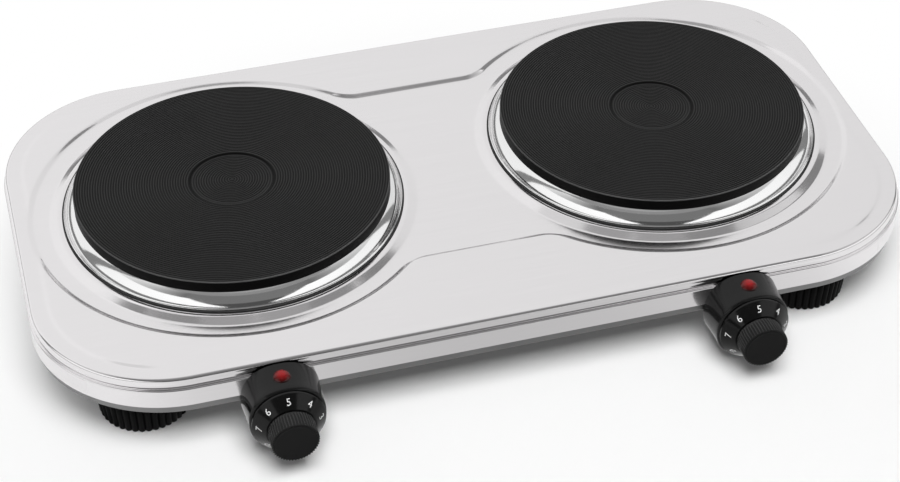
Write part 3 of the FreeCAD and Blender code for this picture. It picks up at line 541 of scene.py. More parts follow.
def two_sided(name, points, normals, faces, sheet):
    """Closed sheet: the outer skin, the same skin moved in by the sheet, and strips along the free edges."""
    count = len(points)
    seen = {}
    for face in faces:
        for a, b in zip(face, face[1:] + face[:1]):
            seen[(a, b)] = True
    strips = [(b, a, a + count, b + count) for a, b in seen if (b, a) not in seen]
    back = [tuple(i + count for i in reversed(face)) for face in faces]
    every = np.vstack([points, points - normals * sheet])
    both = np.vstack([normals, -normals])
    return link_mesh(name, every, faces + back + strips, normals=both)


def grooves(start, end, level):
    """Fine turned grooves from one radius to another, as points (radius, height)."""
    points = []
    for radius in np.arange(start, end, GROOVE_PITCH):
        points.append((radius, level))
        points.append((radius + GROOVE_WIDTH / 2, level - GROOVE_DEPTH))
        points.append((radius + GROOVE_WIDTH, level))
    return points


def iron_plate(side_name, side):
    """Turned plate with fine ring grooves, a shallow middle and a crisp edge."""
    floor = PLATE_TOP - DIMPLE_DEPTH
    body = PLATE_RADIUS - PLATE_FLANGE
    outline = [(0.0, floor)] + grooves(GROOVE_START, DIMPLE_RADIUS - 2 * GROOVE_PITCH, floor)
    outline.append((DIMPLE_RADIUS - DIMPLE_SLOPE, floor))
    outline.append((DIMPLE_RADIUS - DIMPLE_LIP, PLATE_TOP - DIMPLE_LIP_DROP))
    outline.append((DIMPLE_RADIUS, PLATE_TOP))
    outline += grooves(DIMPLE_RADIUS + GROOVE_PITCH, GROOVE_END - GROOVE_WIDTH, PLATE_TOP)
    edge = rounded([
        (GROOVE_END, PLATE_TOP, 0),
        (PLATE_RADIUS, PLATE_TOP, EDGE_ROUND),
        (PLATE_RADIUS, SEAT_LEVEL, SEAT_ROUND),
        (body, SEAT_LEVEL, SEAT_ROUND),
        (body, PLATE_BOTTOM, BOTTOM_ROUND),
        (0.0, PLATE_BOTTOM, 0),
    ])
    points, faces = lathe(np.vstack([outline, edge]), PLATE_SEGMENTS)
    return link_mesh(side_name + "_iron_plate", on_plate(points, side), faces, sharp=SHARP)


def bright_ring(side_name, side):
    """Polished ring between plate and top: a full wall, a small brim clear of the top, and a foot."""
    inner = PLATE_RADIUS - RING_SEAT
    crown = PLATE_RADIUS + RING_CLEAR
    lip = RING_BASE + RING_LIP
    foot = RING_RADIUS - RING_TUCK
    waist = (RING_WAIST, RING_WAIST_LEVEL)
    bulge = np.array(RING_BULGE) * RING_FULLNESS
    wall_middle = np.array(((crown + RING_WAIST) / 2, (SEAT_LEVEL + RING_WAIST_LEVEL) / 2)) + bulge
    wall = arc_through((crown, SEAT_LEVEL), wall_middle, waist, 22)
    brim_end = (RING_RADIUS - BRIM_END[0], lip + BRIM_END[1])
    brim_middle = [(start + end) / 2 - dip for start, end, dip in zip(waist, brim_end, BRIM_DIP)]
    brim = arc_through(waist, brim_middle, brim_end, 6)
    roll_centre = np.array((RING_RADIUS - ROLL_RADIUS, lip - ROLL_DROP))
    roll_angles = np.radians(np.linspace(*ROLL_ARC, 9))
    roll = roll_centre + ROLL_RADIUS * np.stack([np.cos(roll_angles), np.sin(roll_angles)], 1)
    under = np.array([(foot, lip - BRIM_UNDERSIDE), (foot, RING_BASE), (foot - RING_SHEET, RING_BASE)])
    lining_start = (foot - RING_SHEET, lip)
    lining_end = (crown - RING_SHEET, SEAT_LEVEL - RING_SHEET)
    lining = arc_through(lining_start, wall_middle - RING_SHEET, lining_end, 12)
    seat = np.array([(inner, SEAT_LEVEL - RING_SHEET), (inner, SEAT_LEVEL), (crown - SEAT_END, SEAT_LEVEL)])
    outline = np.vstack([wall, brim[1:], roll, under, lining, seat])
    points, faces = lathe(outline, RING_SEGMENTS, closed=True)
    return link_mesh(side_name + "_bright_ring", on_plate(points, side), faces, sharp=RING_SHARP)


def ring_seal(side_name, side):
    """Dark bead under the ring's brim, put there as painted shade."""
    foot = RING_RADIUS - RING_TUCK + SHADE_BEAD_GAP
    top = RING_BASE + RING_LIP - SHADE_BEAD_DROP
    outline = rounded([
        (foot, RING_BASE, 0),
        (SHADE_BEAD_RADIUS, RING_BASE, 0.2),
        (SHADE_BEAD_RADIUS, top, 0.4),
        (foot, top, 0),
    ], 4)
    points, faces = lathe(outline, SHADE_BEAD_SEGMENTS, closed=True)
    return link_mesh(side_name + "_ring_seal", on_plate(points, side), faces, sharp=SHARP)


def pan_edge():
    """Rounded edge of the base pan, which shows as a band below the skirt."""
    bend = PAN_EDGE_INSET + PAN_EDGE_ROUND
    outer = [(PAN_EDGE_INSET, PAN_EDGE_TOP)]
    inner = [(PAN_EDGE_INSET + SHEET, PAN_EDGE_TOP)]
    for t in np.linspace(0, math.pi / 2, 9):
        reach = np.array((-math.cos(t), -math.sin(t)))
        centre = np.array((bend, PAN_EDGE_BOTTOM + PAN_EDGE_ROUND))
        outer.append(tuple(centre + PAN_EDGE_ROUND * reach))
        inner.append(tuple(centre + (PAN_EDGE_ROUND - SHEET) * reach))
    outer.append((PAN_EDGE_FLANGE, PAN_EDGE_BOTTOM))
    inner.append((PAN_EDGE_FLANGE, PAN_EDGE_BOTTOM + SHEET))
    section = outer + inner[::-1]
    points = []
    for inset, z in section:
        plan, _ = case_contour(inset)
        points.append(np.column_stack([plan, np.full(len(plan), z)]))
    count = len(points[0])
    faces = []
    for i in range(len(points)):
        j = (i + 1) % len(points)
        for k in range(count):
            m = (k + 1) % count
            faces.append((i * count + k, j * count + k, j * count + m, i * count + m))
    return link_mesh("pan_edge", np.vstack(points), faces, sharp=SHARP)


def barrel_section(radius, floor):
    """Round section with a flat underside and rounded lower corners."""
    angles = np.linspace(0, 2 * math.pi, HOUSING_POINTS, endpoint=False)
    down = np.maximum(-np.sin(angles), TINY)
    flat = floor / down
    power = FLOOR_CORNER_POWER
    square = np.abs(np.cos(angles)) ** HOUSING_SQUARENESS + np.abs(np.sin(angles)) ** HOUSING_SQUARENESS
    side = radius * square ** (-1 / HOUSING_SQUARENESS)
    reach = (side**-power + np.minimum(flat, FAR) ** -power) ** (-1 / power)
    return np.stack([reach * np.cos(angles), reach * np.sin(angles)], 1)


def control_barrel(side_name, side):
    """Moulded housing that flares out on to the skirt, with a rounded front edge."""
    stations = []
    for t in np.linspace(0, 1, 13):
        stations.append((HOUSING_FLARE * (1 - t) ** FLARE_POWER, FLARE_LENGTH * t))
    stations += [(0.0, z) for z in HOUSING_LEVELS]
    for t in np.linspace(0, math.pi / 2, 8):
        turn = HOUSING_ROUND * (1 - math.sin(t))
        stations.append((-HOUSING_ROUND * (1 - math.cos(t)), HOUSING_FACE - turn))
    stations += [(-inset, HOUSING_FACE) for inset in FACE_INSETS]
    points = []
    for grow, z in stations:
        section = barrel_section(HOUSING_RADIUS + grow, HOUSING_FLOOR + min(grow, 0.0))
        points.append(np.column_stack([section, np.full(len(section), z)]))
    count = len(points[0])
    faces = []
    for i in range(len(points) - 1):
        for j in range(count):
            k = (j + 1) % count
            faces.append((i * count + j, i * count + k, (i + 1) * count + k, (i + 1) * count + j))
    faces.append(tuple(range(count - 1, -1, -1)))
    last = (len(points) - 1) * count
    faces.append(tuple(range(last, last + count)))
    placed = on_knob(np.vstack(points), side)
    return link_mesh(side_name + "_control_barrel", placed, faces, sharp=HOUSING_SHARP)


def lens_dome(side_name, side):
    """Domed lamp lens in a thin collar that follows the housing's curve."""
    dome = arc_through((0.0, LENS_RISE), (LENS_SHOULDER, LENS_RISE - LENS_SHOULDER_DROP), LENS_EDGE, 12)
    rim = rounded([
        (*LENS_EDGE, 0),
        (*LENS_GROOVE, 0.1),
        (*LENS_COLLAR, 0.15),
        (LENS_RADIUS, COLLAR_HEIGHT, 0.2),
        (LENS_RADIUS, -LENS_SINK, 0),
        (0, -LENS_SINK, 0),
    ])
    outline = np.vstack([dome, rim[1:]])
    points, faces = lathe(outline, LENS_SEGMENTS)
    sag = HOUSING_RADIUS - np.sqrt(HOUSING_RADIUS**2 - points[:, 0] ** 2)
    x = points[:, 0]
    y = SKIRT_FRONT - LENS_BACK + points[:, 1]
    z = KNOB_HEIGHT + HOUSING_RADIUS + points[:, 2] - sag
    placed = np.stack([side * KNOB_X + x, y, z], 1)
    return link_mesh(side_name + "_lens_dome", placed, faces, sharp=SHARP)


def flutes(count, depth, sharpness):
    """Function that cuts rounded flutes into a turned wall."""
    def cut(r, angles):
        dip = np.abs(np.sin(angles * count / 2)) ** sharpness
        return r - depth * (1 - dip)

    return cut


def dial_knob(side_name, side):
    """Bevelled dial with a fluted grip."""
    start = DIAL_BACK + DIAL_RIM + DIAL_BEVEL
    end = start + GRIP_LENGTH
    outline = rounded([
        (KNOB_BORE, DIAL_BACK + BORE_DEPTH, 0),
        (KNOB_BORE, DIAL_BACK, 0.3),
        (DIAL_RADIUS, DIAL_BACK, 0.3),
        (DIAL_RADIUS, DIAL_BACK + DIAL_RIM, 0.5),
        (BEVEL_TOP, start, 0.35),
        (GRIP_RADIUS - GRIP_STEP, start, 0),
    ])
    grip = rounded([
        (GRIP_RADIUS, start, 0),
        (GRIP_RADIUS, end, 0.7),
        (CAP_RADIUS + CAP_FIT, end, 0.1),
        (CAP_RADIUS + CAP_FIT, end - CAP_WELL, 0),
        (0.0, end - CAP_WELL, 0),
    ])
    cut = flutes(GRIP_FLUTES, GRIP_FLUTE_DEPTH, GRIP_FLUTE_SHARPNESS)

    def wave(r, z, angles):
        if z <= start or r < CAP_RADIUS + PLAIN_LIP:
            return np.full(len(angles), r)
        return cut(r, angles)

    segments = GRIP_FLUTES * GRIP_FLUTE_POINTS
    points, faces = lathe(np.vstack([outline, grip])[::-1], segments, wave=wave)
    return link_mesh(side_name + "_dial_knob", on_knob(points, side), faces, sharp=SHARP)


def grip_cap(side_name, side):
    """Flat cap with a softened edge and a shallow dish."""
    end = DIAL_BACK + DIAL_RIM + DIAL_BEVEL + GRIP_LENGTH
    front = end + CAP_PROUD
    outline = rounded([
        (0.0, front - CAP_DISH, 0),
        (CAP_RADIUS - CAP_DISH_EDGE, front - CAP_DISH_EDGE_DROP, 1.5),
        (CAP_RADIUS - CAP_LAND, front, 0.5),
        (CAP_RADIUS, front, 0.3),
        (CAP_RADIUS, end - CAP_DEPTH, 0),
        (0.0, end - CAP_DEPTH, 0),
    ])
    points, faces = lathe(outline, CAP_SEGMENTS)
    return link_mesh(side_name + "_grip_cap", on_knob(points, side), faces, sharp=SHARP)


def dial_numbers(side_name, side):
    """Plain numbers printed on the dial's bevel, 5 at the top."""
    run = np.array((DIAL_RADIUS - BEVEL_TOP, -DIAL_BEVEL))
    run /= np.linalg.norm(run)
    face = np.array((-run[1], run[0]))
    middle = np.array(((DIAL_RADIUS + BEVEL_TOP) / 2, DIAL_BACK + DIAL_RIM + DIAL_BEVEL / 2))
    points = []
    faces = []
    for number in range(NUMBERS):
        turn = math.radians(OFF_ANGLE if number == 0 else NUMBER_STEP * (TOP_NUMBER - number))
        curve = bpy.data.curves.new("number", "FONT")
        curve.body = str(number)
        curve.size = NUMBER_SIZE
        curve.align_x = "CENTER"
        curve.align_y = "CENTER"
        curve.extrude = NUMBER_RELIEF
        curve.resolution_u = NUMBER_RESOLUTION
        text = bpy.data.objects.new("number", curve)
        bpy.context.collection.objects.link(text)
        glyph = bpy.data.meshes.new_from_object(text.evaluated_get(bpy.context.evaluated_depsgraph_get()))
        local = np.array([tuple(v.co) for v in glyph.vertices])
        local[:, 0] -= (local[:, 0].min() + local[:, 0].max()) / 2
        local[:, 1] -= (local[:, 1].min() + local[:, 1].max()) / 2
        section = middle + local[:, 1:2] * run + (local[:, 2:3] + NUMBER_RELIEF / 2) * face
        angles = turn + local[:, 0] / section[:, 0]
        first = len(points)
        points += list(zip(section[:, 0] * np.sin(angles), section[:, 0] * np.cos(angles), section[:, 1]))
        faces += [tuple(first + i for i in p.vertices) for p in glyph.polygons]
        bpy.data.objects.remove(text)
        bpy.data.curves.remove(curve)
        bpy.data.meshes.remove(glyph)
    return link_mesh(side_name + "_dial_numbers", on_knob(np.array(points), side), faces, sharp=NUMBER_SHARP)


def ribbed_foot(name, x, y):
    """Round foot with upright flutes and a screw well below."""
    bottom = FOOT_RADIUS - FOOT_TAPER
    outline = rounded([
        (0.0, FOOT_HEIGHT, 0),
        (FOOT_RADIUS, FOOT_HEIGHT, 0.8),
        (FOOT_RADIUS, FOOT_HEIGHT * FOOT_WAIST, 8.0),
        (bottom, 0.0, 1.4),
        (WELL_RADIUS, 0.0, 0.5),
        (WELL_RADIUS, WELL_DEPTH, 0.5),
        (0.0, WELL_DEPTH, 0),
    ])
    cut = flutes(FOOT_FLUTES, FOOT_FLUTE_DEPTH, FOOT_FLUTE_SHARPNESS)

    def wave(r, z, angles):
        share = min(max((r - FLUTE_START) / FLUTE_RUN, 0.0), 1.0)
        return r + (cut(r, angles) - r) * share

    points, faces = lathe(outline, FOOT_FLUTES * FOOT_FLUTE_POINTS, wave=wave)
    return link_mesh(name, points + np.array((x, y, 0.0)), faces, sharp=SHARP)


# Materials, with painted highlights, painted shade and a painted glow placed as shares of a piece's radius
# or length
NOISE_LOW = 0.3
NOISE_HIGH = 0.7
GRAIN_DETAIL = 4.0
CLOUD_DETAIL = 3.0
EVEN = (1, 1, 1)
BRUSHED = (0.03, 1.0, 1.0)
# Painted highlight on the plate's groove ridges, blurred over this share of a pitch
RIDGE_BLUR = 0.08
# Painted shade ring at the edge of the plate's shallow middle
DIMPLE_SHADE_START = (0.2595, 0.2615)
DIMPLE_SHADE_END = (0.2765, 0.2745)
# Painted highlight along the plate's top edge
EDGE_HIGHLIGHT_START = (0.9925, 0.9945)
EDGE_HIGHLIGHT_LEVEL = (0.955, 0.975)
# Painted shade on the plate's side wall
WALL_SHADE_START = (0.997, 0.999)
WALL_SHADE_LEVEL = (0.97, 0.95)
# Painted highlight on the grip's ridges, along this share of the knob
GRIP_SHARE = (0.57, 0.55)
# Painted glow in the lens's middle and painted shade towards its collar
LENS_GLOW_FADE = (0.25, 0.75)
COLLAR_SHADE_FADE = (0.80, 0.90)
materials = {}


def noise(tree, scale, detail, stretch):
    """Noise in object space, in cells per metre, stretched along the axes."""
    place = tree.nodes.new("ShaderNodeTexCoord")
    mapping = tree.nodes.new("ShaderNodeMapping")
    mapping.inputs["Scale"].default_value = stretch
    texture = tree.nodes.new("ShaderNodeTexNoise")
    texture.inputs["Scale"].default_value = scale
    texture.inputs["Detail"].default_value = detail
    tree.links.new(place.outputs["Object"], mapping.inputs["Vector"])
    tree.links.new(mapping.outputs["Vector"], texture.inputs["Vector"])
    return texture.outputs["Fac"]


def spread(tree, value, low, high):
    """Noise value mapped to a range."""
    span = tree.nodes.new("ShaderNodeMapRange")
    span.inputs["From Min"].default_value = NOISE_LOW
    span.inputs["From Max"].default_value = NOISE_HIGH
    span.inputs["To Min"].default_value = low
    span.inputs["To Max"].default_value = high
    tree.links.new(value, span.inputs["Value"])
    return span.outputs["Result"]


def tint(tree, value, dark, light):
    """Noise value mapped to a colour between two."""
    ramp = tree.nodes.new("ShaderNodeValToRGB")
    ramp.color_ramp.elements[0].position = NOISE_LOW
    ramp.color_ramp.elements[0].color = (*dark, 1)
    ramp.color_ramp.elements[1].position = NOISE_HIGH
    ramp.color_ramp.elements[1].color = (*light, 1)
    tree.links.new(value, ramp.inputs["Fac"])
    return ramp.outputs["Color"]


def relief(tree, shader, value, strength, distance):
    """Fine relief on the surface."""
    bump = tree.nodes.new("ShaderNodeBump")
    bump.inputs["Strength"].default_value = strength
    bump.inputs["Distance"].default_value = distance
    tree.links.new(value, bump.inputs["Height"])
    tree.links.new(bump.outputs["Normal"], shader.inputs["Normal"])


def finish(
    name,
    dark,
    light,
    rough,
    metal=0.0,
    scale=900.0,
    stretch=EVEN,
    bump=0.1,
    depth=0.00005,
    specular=0.5,
    streak=35.0,
):
    """Material with colour, roughness and relief from noise, listed under its name."""
    material = bpy.data.materials.new(name)
    material.use_nodes = True
    materials[name] = material
    tree = material.node_tree
    shader = tree.nodes["Principled BSDF"]
    grain = noise(tree, scale, GRAIN_DETAIL, stretch)
    cloud = noise(tree, streak, CLOUD_DETAIL, stretch)
    tree.links.new(tint(tree, cloud, dark, light), shader.inputs["Base Color"])
    tree.links.new(spread(tree, grain, *rough), shader.inputs["Roughness"])
    shader.inputs["Metallic"].default_value = metal
    shader.inputs["Specular IOR Level"].default_value = specular
    relief(tree, shader, grain, bump, depth)
    return tree, shader.inputs["Base Color"]


def grey(value, warmth=0.0):
    """Neutral colour, slightly warm or cool."""
    return (value * (1 + warmth), value, value * (1 - warmth))


def radial_place(tree, axis="Z"):
    """Distance from the piece's own axis, 1 at its rim, and place along the axis from 0 to 1."""
    place = tree.nodes.new("ShaderNodeTexCoord")
    middle = tree.nodes.new("ShaderNodeMapping")
    middle.inputs["Location"].default_value = [0 if name == axis else -1 for name in "XYZ"]
    middle.inputs["Scale"].default_value = [0 if name == axis else 2 for name in "XYZ"]
    length = tree.nodes.new("ShaderNodeVectorMath")
    length.operation = "LENGTH"
    parts = tree.nodes.new("ShaderNodeSeparateXYZ")
    tree.links.new(place.outputs["Generated"], middle.inputs["Vector"])
    tree.links.new(middle.outputs["Vector"], length.inputs[0])
    tree.links.new(place.outputs["Generated"], parts.inputs["Vector"])
    return length.outputs["Value"], parts.outputs[axis]


def step_up(tree, value, low, high):
    """Zero below one value, one above the other."""
    span = tree.nodes.new("ShaderNodeMapRange")
    span.inputs["From Min"].default_value = low
    span.inputs["From Max"].default_value = high
    tree.links.new(value, span.inputs["Value"])
    return span.outputs["Result"]


def layer(tree, colour, share, above):
    """Colour covered by another one where the share says so."""
    mix = tree.nodes.new("ShaderNodeMix")
    mix.data_type = "RGBA"
    tree.links.new(share, mix.inputs["Factor"])
    tree.links.new(colour, mix.inputs["A"])
    mix.inputs["B"].default_value = (*above, 1)
    return mix.outputs["Result"]


def product(tree, first, second):
    """Two values multiplied."""
    times = tree.nodes.new("ShaderNodeMath")
    times.operation = "MULTIPLY"
    tree.links.new(first, times.inputs[0])
    tree.links.new(second, times.inputs[1])
    return times.outputs[0]


def iron_finish():
    """Black coating with painted highlights on the groove ridges and along the plate's edge, a painted shade
    ring at the edge of its middle, and painted shade on its wall.
    """
    dark = grey(0.005)
    light = grey(0.007)
    tree, paint = finish("cast_iron", dark, light, (0.42, 0.54), scale=1800.0, bump=0.08, specular=0.10)
    colour = paint.links[0].from_socket
    radius, height = radial_place(tree)
    # Painted highlight: the ridges between the grooves are painted lighter.
    turns = tree.nodes.new("ShaderNodeMath")
    turns.operation = "MULTIPLY_ADD"
    turns.inputs[1].default_value = PLATE_RADIUS / GROOVE_PITCH
    turns.inputs[2].default_value = 1 - (DIMPLE_RADIUS + GROOVE_PITCH) / GROOVE_PITCH % 1
    tree.links.new(radius, turns.inputs[0])
    part = tree.nodes.new("ShaderNodeMath")
    part.operation = "FRACT"
    tree.links.new(turns.outputs[0], part.inputs[0])
    groove = GROOVE_WIDTH / GROOVE_PITCH
    colour = layer(tree, colour, step_up(tree, part.outputs[0], groove, groove + RIDGE_BLUR), grey(0.025))
    # Painted shade: a dark ring on the step round the plate's shallow middle.
    inside = step_up(tree, radius, *DIMPLE_SHADE_START)
    outside = step_up(tree, radius, *DIMPLE_SHADE_END)
    colour = layer(tree, colour, product(tree, inside, outside), grey(0.001))
    # Painted highlight: a light line along the plate's top edge.
    edge = step_up(tree, radius, *EDGE_HIGHLIGHT_START)
    high = step_up(tree, height, *EDGE_HIGHLIGHT_LEVEL)
    colour = layer(tree, colour, product(tree, edge, high), grey(0.075))
    # Painted shade: the plate's side wall is painted near black.
    wall = step_up(tree, radius, *WALL_SHADE_START)
    low = step_up(tree, height, *WALL_SHADE_LEVEL)
    colour = layer(tree, colour, product(tree, wall, low), grey(0.001))
    tree.links.new(colour, paint)


def knob_finish():
    """Black moulding with a painted highlight on the grip's ridges."""
    dark = grey(0.002)
    light = grey(0.004)
    tree, paint = finish("knob_plastic", dark, light, (0.12, 0.18), scale=2500.0, bump=0.04, specular=0.22)
    colour = paint.links[0].from_socket
    radius, along = radial_place(tree, "Y")
    # Painted highlight: the grip's ridge tops are painted lighter.
    ridge_start = (GRIP_RADIUS - GRIP_HIGHLIGHT_START) / DIAL_RADIUS
    ridge_end = (GRIP_RADIUS - GRIP_HIGHLIGHT_END) / DIAL_RADIUS
    ridge = step_up(tree, radius, ridge_start, ridge_end)
    grip = step_up(tree, along, *GRIP_SHARE)
    colour = layer(tree, colour, product(tree, ridge, grip), grey(0.028))
    tree.links.new(colour, paint)


def lens_finish():
    """Clear red moulding with a painted glow in the middle and painted shade towards the collar."""
    dark = (0.24, 0.002, 0.004)
    light = (0.30, 0.003, 0.005)
    tree, paint = finish("red_lens", dark, light, (0.05, 0.09), scale=300.0, bump=0.01, specular=0.3)
    colour = paint.links[0].from_socket
    radius, _ = radial_place(tree)
    # Painted glow in the middle of the lens, fading to painted shade towards its collar.
    colour = layer(tree, colour, step_up(tree, radius, *LENS_GLOW_FADE), (0.07, 0.001, 0.001))
    colour = layer(tree, colour, step_up(tree, radius, *COLLAR_SHADE_FADE), (0.016, 0.001, 0.001))
    tree.links.new(colour, paint)


finish(
    "stainless",
    (0.787, 0.772, 0.780),
    (0.800, 0.785, 0.793),
    (0.09, 0.14),
    metal=1.0,
    scale=2600.0,
    stretch=BRUSHED,
    bump=0.02,
    depth=0.00002,
    streak=700.0,
)
finish("polished_steel", grey(0.81), grey(0.84), (0.07, 0.12), metal=1.0, scale=400.0, bump=0.01)
iron_finish()
finish("pan_steel", grey(0.20), grey(0.24), (0.30, 0.40), metal=1.0, scale=1500.0, bump=0.05)
finish("housing_plastic", grey(0.005), grey(0.007), (0.13, 0.19), scale=2500.0, bump=0.04, specular=0.22)
knob_finish()
finish("cap_plastic", grey(0.007), grey(0.009), (0.42, 0.52), scale=2500.0, bump=0.08, specular=0.08)
lens_finish()
finish("lamp_glass", (0.8, 0.5, 0.4), (0.9, 0.6, 0.5), (0.05, 0.10), scale=300.0, bump=0.01)
finish("rubber", grey(0.0015), grey(0.0025), (0.45, 0.60), scale=1600.0, bump=0.10, specular=0.04)
finish("ceramic", grey(0.62, 0.04), grey(0.70, 0.05), (0.55, 0.70), bump=0.15)
finish("element_steel", grey(0.32), grey(0.42), (0.35, 0.50), metal=1.0, bump=0.08)
finish("aluminium", grey(0.72), grey(0.80), (0.35, 0.45), metal=1.0, bump=0.05)
finish("thermostat_plastic", grey(0.45, 0.1), grey(0.52, 0.1), (0.4, 0.5), bump=0.05)
finish("brass", (0.70, 0.50, 0.20), (0.80, 0.58, 0.26), (0.25, 0.35), metal=1.0, bump=0.05)
finish("wire_sleeve", grey(0.50, 0.05), grey(0.60, 0.05), (0.6, 0.75), scale=1800.0, bump=0.2)
finish("zinc_steel", grey(0.55), grey(0.66), (0.30, 0.42), metal=1.0, scale=1200.0, bump=0.05)
finish("number_paint", grey(0.72), grey(0.82), (0.45, 0.55), scale=1500.0, bump=0.05)
# Painted shade: colour of the dark bead under each ring's brim
finish("shade_bead_dark", grey(0.030), grey(0.040), (0.5, 0.6), scale=1500.0, bump=0.05, specular=0.10)


def dress(obj, slot, body, *replaced):
    """Gives a piece its material and its body, and hides the nodes that it stands for."""
    obj.data.materials.clear()
    obj.data.materials.append(materials[slot])
    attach(obj, body)
    if replaced:
        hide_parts(*replaced)


dress(steel_top(), "stainless", "root", "top_shell")
dress(pan_edge(), "pan_steel", "root")
for side_name, side in SIDES:
    knob_body = side_name + "_knob_body"
    dress(iron_plate(side_name, side), "cast_iron", "root", side_name + "_hot_plate")
    dress(bright_ring(side_name, side), "polished_steel", "root", side_name + "_trim_ring")
    # Painted shade: a dark bead under the ring's brim
    dress(ring_seal(side_name, side), "shade_bead_dark", "root")
    dress(control_barrel(side_name, side), "housing_plastic", "root", side_name + "_control_housing")
    dress(lens_dome(side_name, side), "red_lens", "root", side_name + "_indicator_lens")
    dress(dial_knob(side_name, side), "knob_plastic", knob_body, side_name + "_knob")
    dress(grip_cap(side_name, side), "cap_plastic", knob_body, side_name + "_knob_cap")
    dress(dial_numbers(side_name, side), "number_paint", knob_body)
for foot_name in ("front_left", "front_right", "rear_left", "rear_right"):
    low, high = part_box(foot_name + "_foot")
    x = (low[0] + high[0]) / 2 / MM
    y = (low[1] + high[1]) / 2 / MM
    dress(ribbed_foot(foot_name + "_ribbed_foot", x, y), "rubber", "root", foot_name + "_foot")

# Solids that show as they are
NODE_FINISHES = {
    "base_pan": "pan_steel",
    "foot_screws": "zinc_steel",
    "foot_nuts": "zinc_steel",
    "standoffs": "zinc_steel",
    "base_screws": "zinc_steel",
    "stud_nuts": "zinc_steel",
    "housing_screws": "zinc_steel",
    "thermostat_nuts": "brass",
    "terminal_block": "ceramic",
    "terminal_screws": "brass",
    "cord_gland": "rubber",
    "gland_nut": "zinc_steel",
    "earth_stud": "brass",
    "earth_nut": "brass",
    "heating_coil": "element_steel",
    "insulation": "ceramic",
    "element_cover": "element_steel",
    "clamp_bridge": "zinc_steel",
    "plate_stud": "zinc_steel",
    "heat_shield": "aluminium",
    "housing_cover": "housing_plastic",
    "neon_lamp": "lamp_glass",
    "thermostat_body": "thermostat_plastic",
    "thermostat_bushing": "brass",
    "thermostat_terminals": "brass",
    "thermostat_shaft": "zinc_steel",
    "wiring": "wire_sleeve",
}
for node_name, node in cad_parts.items():
    plain = node_name.removeprefix("left_").removeprefix("right_")
    if plain in NODE_FINISHES:
        node.data.materials.clear()
        node.data.materials.append(materials[NODE_FINISHES[plain]])

# Floor, world, lamp and cards, in metres
FLOOR_HALF = 6.0
FLOOR_COLOUR = 0.95
FLOOR_LIFT = 0.04
FAR_LIFT = 1.0
LIFT_MIDDLE = (0.0, -0.13, 0.0)
LIFT_START = 0.20
LIFT_END = 0.40
WORLD_LIGHT = 0.15
CARD_COLUMNS = 25
CARD_ROWS = 13
floor_mesh = bpy.data.meshes.new("floor")
corners = [(x * FLOOR_HALF, y * FLOOR_HALF, 0) for x, y in ((-1, -1), (1, -1), (1, 1), (-1, 1))]
floor_mesh.from_pydata(corners, [], [(0, 1, 2, 3)])
floor = bpy.data.objects.new("floor", floor_mesh)
bpy.context.collection.objects.link(floor)


def seen_ray(tree):
    """One for rays from the camera, from gloss or through glass, and zero for others."""
    path = tree.nodes.new("ShaderNodeLightPath")
    seen = path.outputs["Is Camera Ray"]
    for kind in ("Is Glossy Ray", "Is Transmission Ray"):
        either = tree.nodes.new("ShaderNodeMath")
        either.operation = "MAXIMUM"
        tree.links.new(seen, either.inputs[0])
        tree.links.new(path.outputs[kind], either.inputs[1])
        seen = either.outputs[0]
    return seen


floor_material = bpy.data.materials.new("floor_white")
floor_material.use_nodes = True
tree = floor_material.node_tree
tree.nodes.clear()
diffuse = tree.nodes.new("ShaderNodeBsdfDiffuse")
diffuse.inputs["Color"].default_value = (*grey(FLOOR_COLOUR), 1)
glow = tree.nodes.new("ShaderNodeEmission")
place = tree.nodes.new("ShaderNodeTexCoord")
away = tree.nodes.new("ShaderNodeVectorMath")
away.operation = "DISTANCE"
away.inputs[1].default_value = LIFT_MIDDLE
tree.links.new(place.outputs["Object"], away.inputs[0])
lift = tree.nodes.new("ShaderNodeMapRange")
lift.interpolation_type = "SMOOTHSTEP"
lift.inputs["From Min"].default_value = LIFT_START
lift.inputs["From Max"].default_value = LIFT_END
lift.inputs["To Min"].default_value = FLOOR_LIFT
lift.inputs["To Max"].default_value = FAR_LIFT
tree.links.new(away.outputs["Value"], lift.inputs["Value"])
both = tree.nodes.new("ShaderNodeMixShader")
tree.links.new(product(tree, seen_ray(tree), lift.outputs["Result"]), both.inputs["Fac"])
tree.links.new(diffuse.outputs[0], both.inputs[1])
tree.links.new(glow.outputs[0], both.inputs[2])
output = tree.nodes.new("ShaderNodeOutputMaterial")
tree.links.new(both.outputs[0], output.inputs["Surface"])
floor_mesh.materials.append(floor_material)

world = bpy.data.worlds.new("studio")
bpy.context.scene.world = world
world.use_nodes = True
tree = world.node_tree
background = tree.nodes["Background"]
background.inputs["Color"].default_value = (1, 1, 1, 1)
level = tree.nodes.new("ShaderNodeMapRange")
level.inputs["To Min"].default_value = WORLD_LIGHT
level.inputs["To Max"].default_value = 1.0
tree.links.new(seen_ray(tree), level.inputs["Value"])
tree.links.new(level.outputs["Result"], background.inputs["Strength"])


def lamp(name, place, target, width, height, power):
    """Soft rectangular lamp that faces a point."""
    light = bpy.data.lights.new(name, "AREA")
    light.shape = "RECTANGLE"
    light.size = width
    light.size_y = height
    light.energy = power
    obj = bpy.data.objects.new(name, light)
    obj.location = place
    aim = Vector(target) - Vector(place)
    obj.rotation_euler = aim.to_track_quat("-Z", "Y").to_euler()
    obj.visible_glossy = False
    bpy.context.collection.objects.link(obj)


